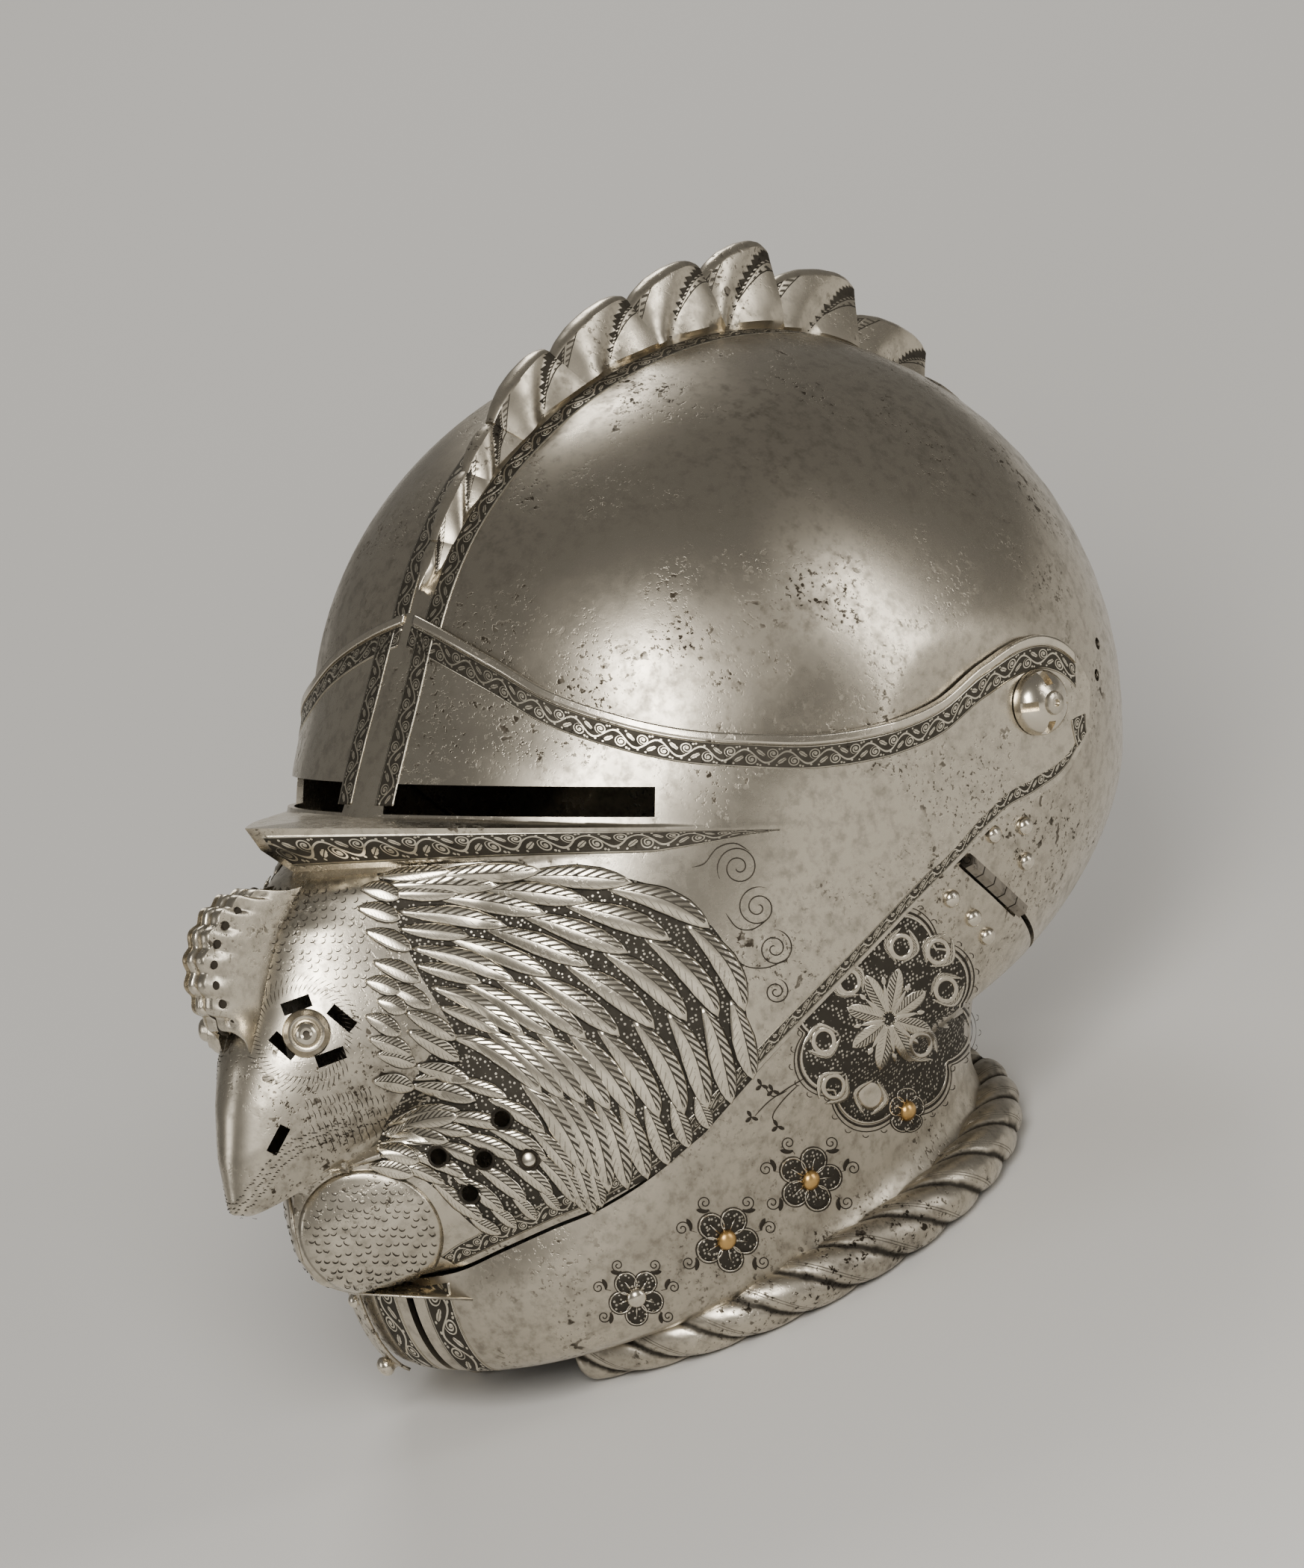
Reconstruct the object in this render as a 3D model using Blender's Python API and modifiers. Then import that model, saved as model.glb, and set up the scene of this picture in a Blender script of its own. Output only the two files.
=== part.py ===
"""Armet with a cockerel-mask visor, a scalloped crest and a roped collar.

Everything is modelled in the worn frame, where the sight is level, the face looks to -Y and the
wearer's left is +X. One empty then tips the whole helmet back, so that it rests flat on its collar.
"""
import bpy
import bmesh
import math
from mathutils import Matrix, Vector

# Rest pose: the worn frame's tilt and its origin, seen from the middle of the collar's underside,
# and that middle seen from the middle of the whole footprint, where the part's own origin is
REST_TILT = math.radians(27.5)
WORN_ORIGIN = Vector((0.0, 0.059, 0.1153))
COLLAR_MIDDLE = Vector((0.0, -0.01208, 0.0))

# Plates and clearances
SKULL_WALL = 0.0020
VISOR_WALL = 0.0018
CHEEK_WALL = 0.0018
JOINT_GAP = 0.0005
SEAT_GAP = 0.0003
CHIN_GAP = 0.0030
SEAM_GAP = 0.0018
CHEEK_GAP = 0.0014
VISOR_PLAY = 0.0012

# Skull, an ellipsoid about its own centre
SKULL_CENTRE = Vector((0.0, 0.002, 0.018))
SKULL_HALF_WIDTH = 0.107
SKULL_FRONT = 0.127
SKULL_BACK = 0.109
SKULL_HEIGHT = 0.112
SKULL_SQUARENESS = 2.12
TEMPLE_FLAT = 0.1035

# Roped collar, a hollow rim round an oval, and the neck above it
COLLAR_HALF_LENGTH = 0.084
COLLAR_HALF_WIDTH = 0.080
ROPE_RADIUS = 0.0085
ROPE_FRONT_GAP = 0.020
NECK_HEIGHT = 0.045
TAIL_HALF_WIDTH = 0.028
TAIL_GAP_ANGLE = 1.5

# Visor, its pivots and its sight
PIVOT = Vector((0.0, 0.021, 0.025))
PIVOT_PIN_RADIUS = 0.0035
PIVOT_DOME_RADIUS = 0.0095
PIVOT_DOME_HEIGHT = 0.0060
ARM_FLAT_RADIUS = 0.046
SIGHT_LEVEL = -0.008
SIGHT_HEIGHT = 0.0086
SIGHT_LENGTH = 0.080

# Hinges of the two cheekpieces
HINGE_START_Y = SKULL_CENTRE.y - SKULL_FRONT * 6 / 127
HINGE_START_Z = SKULL_CENTRE.z - SKULL_HEIGHT * 37 / 112
HINGE_END_Y = SKULL_CENTRE.y + SKULL_BACK * 21 / 109
HINGE_END_Z = SKULL_CENTRE.z - SKULL_HEIGHT * 52 / 112
HINGE_STAND_OFF = 0.0012
HINGE_RADIUS = 0.0024
HINGE_PIN_RADIUS = 0.0009
HINGE_LEAF_WIDTH = 0.0080
HINGE_LEAF_THICKNESS = 0.0008
HINGE_LEAF_DEPTH = 0.0070
KNUCKLES = 5

# Rivets
RIVET_RADIUS = 0.0026
RIVET_HEIGHT = 0.0019
RIVET_SHANK = 0.0012

# Crest, by the turn round the pivots' axis: 180 is straight ahead and 90 straight up
CREST_START = 167.0
CREST_END = 18.0
CREST_HEIGHT = 0.0250
CREST_HALF_WIDTH = 0.0095
CREST_TIP_HALF_WIDTH = 0.0030
CREST_WALL = 0.0018
CREST_ROOT = 0.0010

# Comb, eyes, and the chin's catch
COMB_ROW = 11.87
COMB_STAND = 0.0013
COMB_RADIUS = 0.0235
COMB_HALF_WIDTH = 0.0058
COMB_LOBES = 8
EYE_RADIUS = 0.0080
EYE_HEIGHT = 0.0030
EYE_DOME_RADIUS = 0.0040
EYE_SLOT = (0.0085, 0.0036)
NOSTRIL = (0.0085, 0.0032, 0.012)
BREATH_RADIUS = 0.0024
BACK_HOLE_RADIUS = 0.0018
CATCH_STUD_RADIUS = 0.0037
CATCH_HALF_WIDTH = 0.0035
CATCH_THICKNESS = 0.0010
CATCH_STAND = 0.0015

# Sections of the neck in the rest frame, as shares of the collar's half length, the neck's height
# and the collar's half width
NECK_SECTIONS = (
    # front, front height, back, back height, width, widest, squareness
    (-1.095, 0.27, 0.976, 0.31, 0.950, 0.52, 2.2),
    (-1.333, 0.44, 1.000, 0.58, 0.925, 0.53, 2.3),
    (-1.381, 1.00, 1.167, 1.07, 0.988, 0.54, 2.3),
)
# Sections of the face and nape from the skull's centre, as shares of its front, height, back,
# height and half width
FACE_SECTIONS = (
    # front, front height, back, back height, width, widest, squareness
    (-1.016, -1.098, 0.764, -0.455, 0.841, 0.55, 2.20),
    (-1.024, -0.696, 0.896, -0.330, 0.925, 0.555, 2.15),
    (-1.008, -0.295, 0.981, -0.170, 0.982, 0.552, 2.12),
)
EQUATOR = len(NECK_SECTIONS) + len(FACE_SECTIONS)
CROWN = EQUATOR + 1

# Edges by angle from the front in degrees, with heights as shares of the skull's height, from its centre
VISOR_TOP_EDGE = (
    (0, 0.295), (7, 0.254), (17, 0.183), (26, 0.107), (37, 0.046), (46, 0.013), (55, 0.0), (64, -0.004),
    (74, 0.022), (83, 0.076), (90, 0.17), (96, 0.223), (101, 0.232), (106, 0.192), (109.5, 0.107))
VISOR_LOWER_EDGE = (
    (0, -1.384), (12, -1.357), (22, -1.304), (32, -1.246), (42, -1.187), (52, -1.085), (59, -0.955),
    (65, -0.821), (74, -0.616), (83, -0.402), (91, -0.237), (98, -0.179), (104, -0.121),
    (109.5, -0.009))
SKULL_BROW_EDGE = (
    (0, 0.107), (20, 0.054), (37, -0.045), (46, -0.08), (66, -0.089), (86, -0.299))
SEAM_START_ANGLE = 86


def blend(table, angle):
    """Smooth value of a two-column table at an angle."""
    angle = abs(angle)
    last = len(table) - 1
    for i in range(last):
        if angle <= table[i + 1][0] or i == last - 1:
            break
    (a1, v1), (a2, v2) = table[i], table[i + 1]
    before = table[i - 1] if i else (2 * a1 - a2, 2 * v1 - v2)
    after = table[i + 2] if i + 2 <= last else (2 * a2 - a1, 2 * v2 - v1)
    t = min(max((angle - a1) / (a2 - a1), 0.0), 1.0)
    slope1 = (v2 - before[1]) / (a2 - before[0]) * (a2 - a1)
    slope2 = (after[1] - v1) / (after[0] - a1) * (a2 - a1)
    return ((2 * t**3 - 3 * t**2 + 1) * v1 + (t**3 - 2 * t**2 + t) * slope1
            + (3 * t**2 - 2 * t**3) * v2 + (t**3 - t**2) * slope2)


def edge_height(table, angle):
    return SKULL_CENTRE.z + SKULL_HEIGHT * blend(table, angle)


def to_worn(y, z):
    """Rest-frame place in the worn frame."""
    dy = y - WORN_ORIGIN.y
    dz = z - WORN_ORIGIN.z
    c, s = math.cos(REST_TILT), math.sin(REST_TILT)
    return dy * c - dz * s, dy * s + dz * c


def skull_row(lift):
    """Section of the skull's dome, with lift 0 at the equator and 1 at the crown."""
    c, s = math.cos(lift * math.pi / 2), math.sin(lift * math.pi / 2)
    height = SKULL_CENTRE.z + SKULL_HEIGHT * s
    share = SKULL_FRONT / (SKULL_FRONT + SKULL_BACK)
    return (SKULL_CENTRE.y - SKULL_FRONT * c, height, SKULL_CENTRE.y + SKULL_BACK * c, height,
            SKULL_HALF_WIDTH * c, share, SKULL_SQUARENESS)


def make_rows():
    rows = []
    for front, fz, back, bz, width, widest, square in NECK_SECTIONS:
        rows.append((*to_worn(front * COLLAR_HALF_LENGTH, fz * NECK_HEIGHT),
                     *to_worn(back * COLLAR_HALF_LENGTH, bz * NECK_HEIGHT),
                     width * COLLAR_HALF_WIDTH, widest, square))
    for front, fz, back, bz, width, widest, square in FACE_SECTIONS:
        rows.append((SKULL_CENTRE.y + front * SKULL_FRONT, SKULL_CENTRE.z + fz * SKULL_HEIGHT,
                     SKULL_CENTRE.y + back * SKULL_BACK, SKULL_CENTRE.z + bz * SKULL_HEIGHT,
                     width * SKULL_HALF_WIDTH, widest, square))
    rows.append(skull_row(0.0))
    rows.append(skull_row(0.19))
    return rows


ROWS = make_rows()


def section(level):
    """Section at a level: whole numbers are the tables' rows, and above the equator is the dome."""
    if level >= EQUATOR:
        return skull_row(min(level - EQUATOR, 1.0))
    i = max(int(level), 0)
    t = level - i
    p0, p1, p2, p3 = ROWS[max(i - 1, 0)], ROWS[i], ROWS[i + 1], ROWS[min(i + 2, EQUATOR + 1)]
    return [0.5 * (2 * b + (c - a) * t + (2 * a - 5 * b + 4 * c - d) * t**2
                   + (3 * b - a - 3 * c + d) * t**3) for a, b, c, d in zip(p0, p1, p2, p3)]


def body_point(angle, level):
    """Outer face of the skull and cheeks, by angle from the front in degrees and by level."""
    front_y, front_z, back_y, back_z, width, widest, square = section(level)
    a = math.radians(angle)
    c = math.copysign(abs(math.cos(a)) ** (2 / square), math.cos(a))
    s = math.copysign(abs(math.sin(a)) ** (2 / square), math.sin(a))
    share = widest * (1 - c) if c > 0 else widest - (1 - widest) * c
    x = min(max(width * s, -TEMPLE_FLAT), TEMPLE_FLAT)
    return Vector((x, front_y + (back_y - front_y) * share, front_z + (back_z - front_z) * share))


def find_level(angle, above):
    """Level where a test turns true on the way up."""
    low, high = 0.0, float(CROWN)
    for _ in range(40):
        middle = (low + high) / 2
        if above(body_point(angle, middle)):
            high = middle
        else:
            low = middle
    return high


def level_at(angle, height):
    return find_level(angle, lambda p: p.z > height)


def seam_height(y):
    slope = (HINGE_END_Z - HINGE_START_Z) / (HINGE_END_Y - HINGE_START_Y)
    return HINGE_START_Z + slope * (y - HINGE_START_Y)


def seam_level(angle, above):
    """Level that lies above the seam's middle line by a distance, or below it."""
    return find_level(angle, lambda p: p.z > seam_height(p.y) + above)


def skull_lower_level(angle):
    if abs(angle) < SEAM_START_ANGLE:
        return level_at(angle, edge_height(SKULL_BROW_EDGE, angle))
    return seam_level(angle, SEAM_GAP / 2)


def cheek_top_level(angle):
    """The visor's lower edge in front and the skull's seam behind, less their gaps."""
    edge = level_at(angle, edge_height(VISOR_LOWER_EDGE, angle) - CHEEK_GAP)
    if abs(angle) < SEAM_START_ANGLE - 6:
        return edge
    return min(edge, seam_level(angle, -SEAM_GAP / 2))


# Visor rows from the skull's centre, as shares of its height and front: each row's rise on the body
# at the middle, the wide bulge of the plate there, then the narrow form over it and that form's rise,
# its reach to each side as a share of the skull's half width, and how it falls off
VISOR_ROWS = (
    # rise, bulge, form, form rise, reach, power, fall
    (0.295, 0.978, 0.978, 0.295, 0.28, 1, 2),
    (0.196, 1.009, 1.009, 0.196, 0.28, 1, 2),
    (0.089, 1.041, 1.041, 0.089, 0.28, 1, 2),
    (-0.018, 1.072, 1.076, -0.018, 0.28, 1, 2),
    (-0.116, 1.098, 1.106, -0.116, 0.28, 1, 2),
    (-0.214, 1.118, 1.134, -0.221, 0.37, 1, 2),
    (-0.225, 1.122, 1.307, -0.225, 0.79, 1, 2),
    (-0.237, 1.126, 1.472, -0.239, 0.86, 1, 2),
    (-0.268, 1.130, 1.425, -0.295, 0.82, 1, 2),
    (-0.330, 1.138, 1.327, -0.353, 0.51, 1, 1.6),
    (-0.393, 1.146, 1.366, -0.411, 0.39, 2, 1.6),
    (-0.482, 1.157, 1.421, -0.500, 0.39, 2, 1.6),
    (-0.580, 1.169, 1.449, -0.598, 0.42, 2, 1.6),
    (-0.687, 1.181, 1.476, -0.714, 0.44, 2, 1.6),
    (-0.786, 1.189, 1.512, -0.830, 0.42, 2, 1.6),
    (-0.866, 1.189, 1.531, -0.955, 0.37, 2, 1.6),
    (-0.929, 1.189, 1.531, -1.080, 0.32, 2, 1.6),
    (-0.982, 1.185, 1.508, -1.214, 0.22, 2, 1.4),
    (-1.018, 1.181, 1.465, -1.219, 0.21, 2, 1.4),
    (-1.049, 1.177, 1.386, -1.147, 0.25, 2, 1.2),
    (-1.080, 1.169, 1.339, -1.125, 0.29, 1.4, 1.1),
    (-1.121, 1.161, 1.327, -1.179, 0.30, 1.1, 1),
    (-1.170, 1.150, 1.323, -1.259, 0.30, 1, 1),
    (-1.223, 1.130, 1.299, -1.339, 0.29, 1, 1),
    (-1.277, 1.102, 1.244, -1.402, 0.28, 1.1, 1.1),
    (-1.321, 1.063, 1.150, -1.420, 0.26, 1.4, 1.3),
    (-1.357, 1.024, 1.047, -1.402, 0.24, 2, 1.4),
    (-1.384, 0.992, 0.992, -1.384, 0.24, 2, 1.4),
)


def fall_off(share, power, fall):
    return max(0.0, 1.0 - min(abs(share), 1.0) ** power) ** fall


def visor_height(angle, row_height):
    """Height of a visor row at an angle: the sight row stays level while both sides close in."""
    top, low = edge_height(VISOR_TOP_EDGE, angle), edge_height(VISOR_LOWER_EDGE, angle)
    sight = max(SIGHT_LEVEL, low + 0.35 * (top - low))
    front_top, front_low = edge_height(VISOR_TOP_EDGE, 0), edge_height(VISOR_LOWER_EDGE, 0)
    if row_height >= SIGHT_LEVEL:
        return sight + (row_height - SIGHT_LEVEL) * (top - sight) / (front_top - SIGHT_LEVEL)
    return sight - (SIGHT_LEVEL - row_height) * (sight - low) / (SIGHT_LEVEL - front_low)


def visor_point(angle, row):
    """Outer face of the visor at an angle and on a row of its table, which may be a fraction."""
    i = min(int(row), len(VISOR_ROWS) - 2)
    t = row - i
    rise, bulge, form, form_rise, reach, power, fall = [
        a + (b - a) * t for a, b in zip(VISOR_ROWS[i], VISOR_ROWS[i + 1])]
    height = SKULL_CENTRE.z + SKULL_HEIGHT * rise
    level = level_at(angle, visor_height(angle, height))
    stand_off = VISOR_PLAY + VISOR_WALL
    p = body_point(angle, level)
    outward = Vector((p.x / SKULL_HALF_WIDTH, (p.y - SKULL_CENTRE.y) / SKULL_FRONT, 0.0))
    p = p + outward.normalized() * stand_off
    middle = body_point(0, level_at(0, height)).y - stand_off
    width = section(level)[4]
    wide = fall_off(p.x / (width + stand_off), 2, 1.5)
    p.y += (SKULL_CENTRE.y - bulge * SKULL_FRONT - middle) * wide
    narrow = fall_off(p.x / (reach * SKULL_HALF_WIDTH), power, fall)
    p.y -= (form - bulge) * SKULL_FRONT * narrow
    p.z += (form_rise - rise) * SKULL_HEIGHT * narrow
    # The arms are flat round the pivots, so that they swing over the temples
    from_pivot = math.hypot(p.y - PIVOT.y, p.z - PIVOT.z)
    flat = TEMPLE_FLAT + stand_off - max(0.0, from_pivot - ARM_FLAT_RADIUS) * 0.5
    if abs(p.x) < flat and from_pivot < 2 * ARM_FLAT_RADIUS:
        p.x = math.copysign(flat, p.x)
    return p


def collar_centre(angle):
    """Middle of the rope's tube, in the rest frame's own oval."""
    a = math.radians(angle)
    y, z = to_worn(-COLLAR_HALF_LENGTH * math.cos(a), ROPE_RADIUS)
    return Vector((COLLAR_HALF_WIDTH * math.sin(a), y, z))


def rope_point(angle, turn):
    """Point on the rope's tube: turn 0 is its outer side and 90 its top, in degrees."""
    a, b = math.radians(angle), math.radians(turn)
    out = Vector((math.sin(a), -math.cos(a) * math.cos(REST_TILT), -math.cos(a) * math.sin(REST_TILT)))
    up = Vector((0.0, -math.sin(REST_TILT), math.cos(REST_TILT)))
    facet = ROPE_RADIUS / math.cos(math.pi / 10)
    return collar_centre(angle) + (out * math.cos(b) + up * math.sin(b)) * facet


ROPE_TURNS = [108 - 36 * i for i in range(8)]


# Angles of the columns, in degrees from the front
SKULL_COLUMNS = [0, 10, 20, 30, 40, 50, 60, 69, 78, 86, 93, 101, 110, 120, 131, 142, 152]
VISOR_COLUMNS = [0, 3.5, 8, 13, 19, 26, 34, 44, 56, 67, 76, 84, 90, 96, 101, 105.5, 109.5]
CHEEK_COLUMNS = [0, 3.5, 8, 13, 19, 26, 34, 44, 56, 67, 76, 84, 91, 99, 109, 120, 131, 142, 151]
# Rows of the grids: shares of the dome's and the plates' lifts, and rows of the visor's table
DOME_LIFTS = [0, 0.14, 0.28, 0.42, 0.57, 0.72, 0.87, 1]
PLATE_LIFTS = [0, 0.14, 0.32, 0.54, 0.77, 1]
VISOR_GRID_ROWS = [0, 2, 4, 5, 6, 7, 8, 9, 11, 13, 14, 15, 16, 17, 18, 19, 20, 22, 24, 25, 27]


def angle_for_width(width, level):
    """Angle behind the ears where the body is as narrow as a half width."""
    low, high = 90.0, 180.0
    for _ in range(40):
        middle = (low + high) / 2
        if body_point(middle, level).x > width:
            low = middle
        else:
            high = middle
    return high


TAIL_ANGLE = angle_for_width(TAIL_HALF_WIDTH, 1.5)


def material(name, colour, metallic, roughness):
    """Principled material with a colour, a metallic value and a roughness."""
    mat = bpy.data.materials.new(name)
    mat.use_nodes = True
    shader = mat.node_tree.nodes["Principled BSDF"]
    shader.inputs["Base Color"].default_value = (*colour, 1.0)
    shader.inputs["Metallic"].default_value = metallic
    shader.inputs["Roughness"].default_value = roughness
    mat.diffuse_color = (*colour, 1.0)
    return mat


def grid_into(bm, columns, rows, place):
    """Add a grid whose corners go where place(column, row) says."""
    grid = bmesh.ops.create_grid(bm, x_segments=len(columns) - 1, y_segments=len(rows) - 1, size=1.0)
    for v in grid["verts"]:
        i = round((v.co.x + 1) / 2 * (len(columns) - 1))
        j = round((v.co.y + 1) / 2 * (len(rows) - 1))
        v.co = place(columns[i], rows[j])


def finish_mesh(bm, name, inside):
    """Weld, turn the faces out, by volume or away from a point inside, and return a mesh."""
    bmesh.ops.remove_doubles(bm, verts=bm.verts, dist=1e-6)
    bmesh.ops.dissolve_degenerate(bm, edges=bm.edges, dist=1e-7)
    bmesh.ops.recalc_face_normals(bm, faces=bm.faces)
    probe = max(bm.faces, key=lambda f: f.calc_area())
    closed = not any(e.is_boundary for e in bm.edges)
    facing = bm.calc_volume(signed=True) if closed else probe.normal.dot(
        probe.calc_center_median() - inside)
    if facing < 0:
        bmesh.ops.reverse_faces(bm, faces=bm.faces)
    mesh = bpy.data.meshes.new(name)
    bm.to_mesh(mesh)
    bm.free()
    return mesh


def add_object(name, mesh, collection, mat=None, origin=None, parent=None):
    """Object whose origin sits at a place in the worn frame, with its mesh left where it is."""
    obj = bpy.data.objects.new(name, mesh)
    collection.objects.link(obj)
    if origin is not None:
        mesh.transform(Matrix.Translation(-origin))
        obj.location = origin
    if mat is not None:
        mesh.materials.append(mat)
    obj.parent = parent
    return obj


def solidify(obj, wall):
    mod = obj.modifiers.new("wall", "SOLIDIFY")
    mod.thickness = wall
    mod.offset = -1.0
    return mod


def boolean(obj, other, operation):
    mod = obj.modifiers.new(operation.lower(), "BOOLEAN")
    mod.operation = operation
    mod.object = other
    mod.solver = "EXACT"
    return mod


def as_guide(obj):
    obj.hide_render = True
    obj.display_type = "WIRE"
    return obj


def frame_along(start, axis):
    """Matrix whose Z runs along an axis from a point."""
    return Matrix.Translation(start) @ axis.to_track_quat("Z", "Y").to_matrix().to_4x4()


def cylinder_mesh(name, start, end, radius, sides, radius_end=None):
    """Cylinder or cone between two points."""
    bm = bmesh.new()
    axis = end - start
    bmesh.ops.create_cone(bm, cap_ends=True, segments=sides, radius1=radius,
                          radius2=radius if radius_end is None else radius_end,
                          depth=axis.length,
                          matrix=frame_along((start + end) / 2, axis))
    mesh = bpy.data.meshes.new(name)
    bm.to_mesh(mesh)
    bm.free()
    return mesh


def both_ways(angles):
    """Angles on both sides of the front."""
    return [-a for a in reversed(angles[1:])] + list(angles)


def skull_mesh():
    """Dome down to the brow and the seams, with the nape's tail and its length of rope."""
    bm = bmesh.new()
    tail = [TAIL_ANGLE, (TAIL_ANGLE + 180) / 2, 180]
    ring = both_ways(SKULL_COLUMNS + tail)

    def dome(angle, lift):
        low = skull_lower_level(angle)
        return body_point(angle, low + (CROWN - low) * lift)

    grid_into(bm, ring, DOME_LIFTS, dome)
    tail_angles = tail + [360 - tail[1], 360 - tail[0]]
    grid_into(bm, tail_angles, PLATE_LIFTS,
              lambda angle, lift: body_point(angle, skull_lower_level(angle) * lift))
    grid_into(bm, tail_angles, [None] + ROPE_TURNS,
              lambda angle, turn: body_point(angle, 0) if turn is None else rope_point(angle, turn))
    return finish_mesh(bm, "skull", SKULL_CENTRE)


def cheek_mesh(side):
    """Cheekpiece from the chin to the tail, with the roped rim along its foot."""
    bm = bmesh.new()
    last = TAIL_ANGLE - TAIL_GAP_ANGLE
    columns = CHEEK_COLUMNS + [last]

    def wall(angle, lift):
        p = body_point(angle, cheek_top_level(angle) * lift)
        return Vector((side * max(p.x, CHIN_GAP / 2), p.y, p.z))

    grid_into(bm, columns, PLATE_LIFTS, wall)
    roped = [a for a in columns if rope_point(a, 0).x >= ROPE_FRONT_GAP]

    def rope(angle, turn):
        p = body_point(angle, 0) if turn is None else rope_point(angle, turn)
        return Vector((side * p.x, p.y, p.z))

    grid_into(bm, roped, [None] + ROPE_TURNS, rope)
    return finish_mesh(bm, "cheek", Vector((0, 0, SKULL_CENTRE.z)))


def visor_mesh():
    bm = bmesh.new()
    grid_into(bm, both_ways(VISOR_COLUMNS), VISOR_GRID_ROWS, visor_point)
    return finish_mesh(bm, "visor", SKULL_CENTRE)


def body_normal(angle, level):
    """Point and outward normal of the skull or cheek at an angle and a level."""
    across = body_point(angle + 1, level) - body_point(angle - 1, level)
    along = body_point(angle, level + 0.04) - body_point(angle, level - 0.04)
    return body_point(angle, level), across.cross(along).normalized()


def body_place(y, z):
    """Point and outward normal of the body's left side at a height and a place along it."""
    low, high = 1.0, 179.0
    for _ in range(30):
        angle = (low + high) / 2
        if body_point(angle, level_at(angle, z)).y < y:
            low = angle
        else:
            high = angle
    return body_normal(angle, level_at(angle, z))


def mirrored(v, side):
    return Vector((side * v.x, v.y, v.z))


def turned_into(bm, place, profile, sides):
    """Turned solid from radius and height pairs, its axis along a matrix's Z."""
    def corner(angle, pair):
        radius, height = pair
        return place @ Vector((radius * math.cos(angle), radius * math.sin(angle), height))

    angles = [2 * math.pi * i / sides for i in range(sides + 1)]
    grid_into(bm, angles, profile, corner)


def turned_mesh(name, place, profile, sides):
    bm = bmesh.new()
    turned_into(bm, place, profile, sides)
    inside = place @ Vector((0, 0, (profile[0][1] + profile[-1][1]) / 2))
    return finish_mesh(bm, name, inside)


def ridge_into(bm, stations, base, tip, base_half, tip_half):
    """Raised ridge on the middle line: at each station, a root and a tip in the Y-Z plane."""
    ring = [(-1, 0.0), (-0.75, 0.55), (-1, 1.0), (1, 1.0), (0.75, 0.55), (1, 0.0), (-1, 0.0)]

    def corner(t, item):
        sign, rise = item
        if rise == 0.0:
            half = sign * base_half
        elif rise == 1.0:
            half = sign * tip_half
        else:
            half = sign * base_half
        root, top = base(t), tip(t)
        return Vector((half, root[0] + (top[0] - root[0]) * rise, root[1] + (top[1] - root[1]) * rise))

    grid_into(bm, stations, ring, corner)
    bmesh.ops.remove_doubles(bm, verts=bm.verts, dist=1e-6)
    open_edges = [e for e in bm.edges if e.is_boundary]
    bmesh.ops.holes_fill(bm, edges=open_edges)


# Crest lobes: each tip's turn round the pivots' axis in degrees and its share of the full height
CREST_TIPS = ((161, 0.14), (152, 0.25), (145, 0.36), (133, 0.61), (119, 0.70), (106, 0.84),
              (94, 1.0), (78, 0.84), (61.5, 0.68), (47, 0.54), (34, 0.38), (24, 0.22))
LOBE_OUTLINE = ((0.0, 0.62), (0.35, 0.88), (0.80, 1.0))


def dome_radius(turn):
    """Distance from the pivots' axis to the dome on the middle line, and its direction."""
    a = math.radians(turn)
    way = (math.cos(a), math.sin(a))
    low, high = 0.05, 0.20
    for _ in range(30):
        middle = (low + high) / 2
        y = PIVOT.y + way[0] * middle - SKULL_CENTRE.y
        z = PIVOT.z + way[1] * middle - SKULL_CENTRE.z
        length = SKULL_FRONT if y < 0 else SKULL_BACK
        if (y / length) ** 2 + (z / SKULL_HEIGHT) ** 2 < 1:
            low = middle
        else:
            high = middle
    return low, way


def crest_place(turn, above):
    """Point above the dome on the middle line, by turn round the pivots' axis."""
    radius, way = dome_radius(turn)
    return PIVOT.y + way[0] * (radius + above), PIVOT.z + way[1] * (radius + above)


def crest_stations():
    """Turns along the crest with its height there: a notch, a rise and a tip for each lobe."""
    stations = []
    start = CREST_START
    for turn, share in CREST_TIPS:
        for part, height in LOBE_OUTLINE:
            stations.append((start + (turn - start) * part, share * height * CREST_HEIGHT))
        start = turn
    stations.append((CREST_END, 0.2 * CREST_ROOT))
    return stations


def crest_mesh():
    bm = bmesh.new()
    ridge_into(bm, crest_stations(),
               lambda station: crest_place(station[0], -CREST_ROOT),
               lambda station: crest_place(*station),
               CREST_HALF_WIDTH, CREST_TIP_HALF_WIDTH)
    return finish_mesh(bm, "crest", Vector(crest_middle()))


def crest_middle():
    y, z = crest_place(90, 0.004)
    return (0.0, y, z)


def crest_hollow_mesh():
    """The crest's inside, open to the skull below."""
    bm = bmesh.new()
    notches = [(turn, share * LOBE_OUTLINE[0][1]) for turn, share in CREST_TIPS[3:-3]]
    ridge_into(bm, notches,
               lambda notch: crest_place(notch[0], -3 * SKULL_WALL),
               lambda notch: crest_place(notch[0], notch[1] * CREST_HEIGHT - CREST_WALL),
               CREST_HALF_WIDTH - 1.6 * CREST_WALL, CREST_TIP_HALF_WIDTH - 0.6 * CREST_WALL)
    y, z = crest_place(90, 0.0)
    return finish_mesh(bm, "crest_hollow", Vector((0.0, y, z)))


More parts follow.
